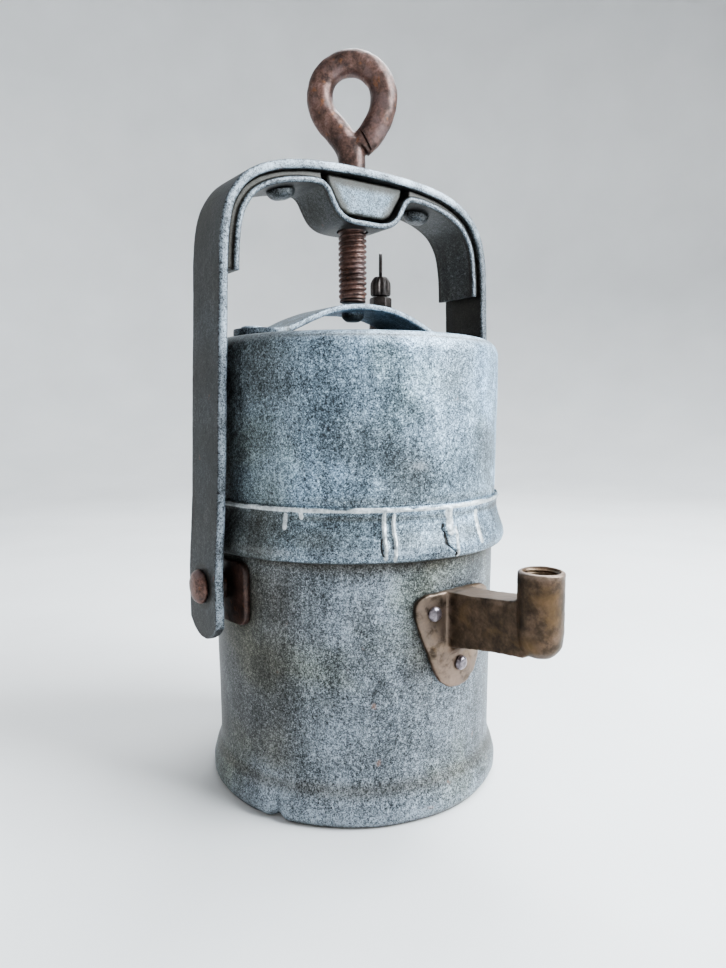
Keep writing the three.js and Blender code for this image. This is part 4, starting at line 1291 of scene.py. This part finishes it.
def br_wear(x, y, z, v):
    q = hypot(x - 80.8, y)
    rim = smooth(79.6, 81.6, z) * smooth(7.5, 5.5, q)
    top = 0.70 * smooth(70.6, 71.6, z) * smooth(75.5, 73.5, z) * smooth(51, 54, x) * smooth(77, 73, x) * smooth(5.6, 4.6, abs(y))
    plate = 0.42 * smooth(53.5, 51.5, x) * smooth(50.6, 50.9, hypot(x, y))
    return max(v * 0.95, rim * 0.8, top, plate)


edge_wear(br, "wear", 3, 6.0, br_wear)
shade(br, 60)
turn(br, BA)
place(br, "pot", BRASS, ["burner_bracket"])

# internal thread sleeve in the burner socket
verts, faces = [], []
TS, z0, z1, step = 72, 68.2, 81.75, 0.16
rows = int((z1 - z0) / step) + 1
for i in range(rows):
    z = z0 + (z1 - z0) * i / (rows - 1)
    for k in range(TS):
        a = 2 * pi * k / TS
        ph = (z / 1.05 - k / TS) % 1.0
        tri = abs(ph * 2 - 1)
        fade = smooth(81.75, 81.0, z)
        r = 5.02 - 0.42 * smooth(0.15, 0.85, tri) * fade + 0.15 * (1 - fade)
        verts.append((r * cos(a), r * sin(a), z))
outer0 = len(verts)
for z in (z1, z0):
    for k in range(TS):
        a = 2 * pi * k / TS
        verts.append((5.5 * cos(a), 5.5 * sin(a), z))
for i in range(rows - 1):
    for k in range(TS):
        k2 = (k + 1) % TS
        faces.append((i * TS + k, (i + 1) * TS + k, (i + 1) * TS + k2, i * TS + k2))
t, b = outer0, outer0 + TS
for k in range(TS):
    k2 = (k + 1) % TS
    faces.append(((rows - 1) * TS + k, t + k, t + k2, (rows - 1) * TS + k2))
    faces.append((t + k, b + k, b + k2, t + k2))
    faces.append((b + k, k, k2, b + k2))
sleeve = fix_normals(make("burner_socket_thread", verts, faces))
shift(sleeve, 80.8)
turn(sleeve, BA)
shade(sleeve, 60)
place(sleeve, "pot", BRASS_IN, ())

for i, (s, z) in enumerate(((-10.3, 65.2), (10.3, 65.2), (0.3, 48.2))):
    o = dome("flange_rivet_head_%d" % (i + 1), 2.3, 1.45, 0, 1.25, -2.0, seg=36, amp=0.10, seed=i * 3.1)
    o.data.transform(Matrix.Rotation(radians(90), 4, "Y"))
    shift(o, 51.35, 0, z)
    turn(o, math.degrees(s / 51.4))
    turn(o, BA)
    place(o, "pot", RIVET, ["flange_rivet_%d" % (i + 1)])

# ---------------------------------------------------------------------- eye screw
PITCH = 1.77
verts, faces = [], []
TS, z0, z1 = (72, 163.75, 206.6)
step = 0.16
rows = int((z1 - z0) / step) + 1
for i in range(rows):
    z = z0 + (z1 - z0) * i / (rows - 1)
    for k in range(TS):
        a = 2 * pi * k / TS
        ph = (z / PITCH - k / TS) % 1.0
        tri = 1 - abs(ph * 2 - 1)
        v = smooth(0.05, 0.75, tri)
        fade = smooth(z0, z0 + 1.4, z) * smooth(z1, z1 - 1.5, z)
        r = 4.86 - 0.78 * (1 - v) * fade - 0.35 * (1 - smooth(z0, z0 + 0.9, z))
        x, y = r * cos(a), r * sin(a)
        # worn and rust-eaten crests
        r += fade * (0.10 * nz(x, y, z, 0.5, 120.0) - 0.20 * max(0, nz(x, y, z, 0.16, 124.0) - 0.15) * v)
        verts.append((r * cos(a), r * sin(a), z))
for i in range(rows - 1):
    for k in range(TS):
        k2 = (k + 1) % TS
        faces.append((i * TS + k, i * TS + k2, (i + 1) * TS + k2, (i + 1) * TS + k))
faces.append(tuple(range(TS))[::-1])
faces.append(tuple((rows - 1) * TS + k for k in range(TS)))
thread = fix_normals(make("eye_thread", verts, faces))

EYE = [(0, 205.5), (-0.1, 209.0), (-1.2, 213.6), (-4.6, 218.6), (-9.0, 223.6), (-10.75, 229.6), (-9.5, 235.6), (-5.4, 239.7), (0, 241.0), (5.4, 239.4), (9.3, 235.5),
       (10.7, 230.2), (9.9, 225.0), (7.9, 220.8), (5.4, 217.2), (2.6, 214.2)]
mid = [tuple(p) for p in spline([Vector(p) for p in EYE], 10)]
verts, faces, RS, nM = [], [], 40, len(mid)
for i, (u, z) in enumerate(mid):
    a, b = Vector(mid[max(i - 1, 0)]), Vector(mid[min(i + 1, nM - 1)])
    t = (b - a).normalized()
    nrm = Vector((-t.y, t.x))
    f = i / (nM - 1)
    rad = 4.42 + 0.10 * sin(9 * f + 1) - 0.18 * smooth(0.93, 1.0, f)
    for k in range(RS):
        th = 2 * pi * k / RS
        q = Vector((u, z)) + nrm * (rad * cos(th))
        verts.append((q.x, rad * sin(th) * 0.985, q.y))
for i in range(nM - 1):
    for k in range(RS):
        k2 = (k + 1) % RS
        faces.append((i * RS + k, i * RS + k2, (i + 1) * RS + k2, (i + 1) * RS + k))
faces.append(tuple(range(RS))[::-1])
faces.append(tuple((nM - 1) * RS + k for k in range(RS)))
ring = fix_normals(make("eye_ring", verts, faces))
neck = lathe("eye_neck", fillet([(0, 205.2), (4.4, 205.2), (4.6, 207.0, 0.6), (4.42, 212.0, 2), (4.1, 216.0), (0, 217.5)], n=4), 48)
ring = join("eye_ring_bent", [ring, neck])
remesh(ring, 0.42, 2, 0.5)
wobble(ring, 0.22, 0.10, 130.0)
wobble(ring, 0.10, 0.42, 133.0)
# split between the bent end and the neck
for lo, hi in ((-7, -1.6), (1.6, 7)):
    boolean(ring, prism("split", [(0.6, 221.6), (1.3, 222.0), (6.8, 212.3), (6.2, 211.9)], lo, hi, "XZ"))
eye = join("eye_screw_rusted", [thread, ring])
turn(eye, -35.8)
shade(eye, 55)
place(eye, "eye_screw", RUST, ["eye_screw"])
turned("screw_foot_pad", fillet([(0, 162.25), (3.5, 162.25, 0.2), (4.5, 162.65, 0.2), (4.5, 163.35, 0.2), (1.55, 163.35), (1.55, 167.4), (0, 167.4)], n=3), RUST_DARK, "screw_foot", "screw_foot", 0, 0)

# ------------------------------------------------------- floor, lights and camera
bowl = fillet([(0, 0), (1500, 0, 620), (1500, 1600)], n=24)
floor = lathe("studio_floor", densify(bowl, 90), 120)
for f in floor.data.polygons:
    f.use_smooth = True
floor.location = (0, 0, -0.0002)
F = Mat("floor_paper")
fn = F.noise(9, 4, 0.5)
fm = F.noise(420, 3, 0.6)
fc = F.ramp(fn, [(0.3, (0.67, 0.66, 0.65)), (0.7, (0.72, 0.71, 0.70))])
F.bump((fm, 0.05, 0.25))
floor.data.materials.append(F.done(fc, 0.75, 0.0))

world = bpy.data.worlds.new("studio")
bpy.context.scene.world = world
world.use_nodes = True
bg = world.node_tree.nodes["Background"]
bg.inputs[0].default_value = (0.76, 0.86, 1.0, 1)
bg.inputs[1].default_value = 0.30

CAM_F = Vector((0.5720, 0.8138, -0.1028))
CAM_R = Vector((0.8180, -0.5752, -0.0025))
CAM_U = Vector((0.0611, 0.0827, 0.9947))
centre = Vector((0, 0, 0.115))


def area(name, direction, dist, size, power, color=(1, 1, 1), size_y=None):
    L = bpy.data.lights.new(name, "AREA")
    L.energy = power
    L.size = size
    if size_y:
        L.shape = "RECTANGLE"
        L.size_y = size_y
    L.color = color
    o = bpy.data.objects.new(name, L)
    d = Vector(direction).normalized()
    o.location = centre + d * dist
    o.rotation_euler = (-d).to_track_quat("-Z", "Y").to_euler()
    bpy.context.scene.collection.objects.link(o)
    return o


area("sky_right", CAM_R * 1.0 - CAM_F * 0.30 + Vector((0, 0, 0.75)), 0.80, 0.50, 25.0, (0.86, 0.94, 1.0), 0.75)
area("sky_top", CAM_F * 0.55 + CAM_R * 0.25 + Vector((0, 0, 1.0)), 1.0, 0.7, 15.0, (0.90, 0.96, 1.0))
area("front_fill", -CAM_F * 1.0 - CAM_R * 0.35 + Vector((0, 0, 0.55)), 1.3, 0.9, 1.8, (1.0, 0.98, 0.95))

cam = bpy.data.cameras.new("camera")
cam.lens = 27.52
cam.sensor_width = 36.0
cam.sensor_fit = "AUTO"
cam.clip_start = 0.01
cam.clip_end = 20
camera = bpy.data.objects.new("camera", cam)
R3 = Matrix((CAM_R, CAM_U, -CAM_F)).transposed()
camera.matrix_world = Matrix.Translation(Vector((-0.14706, -0.21518, 0.12661))) @ R3.to_4x4()
bpy.context.scene.collection.objects.link(camera)
bpy.context.scene.camera = camera

bpy.context.scene.view_settings.view_transform = "AgX"
bpy.context.scene.view_settings.look = "AgX - Medium High Contrast"
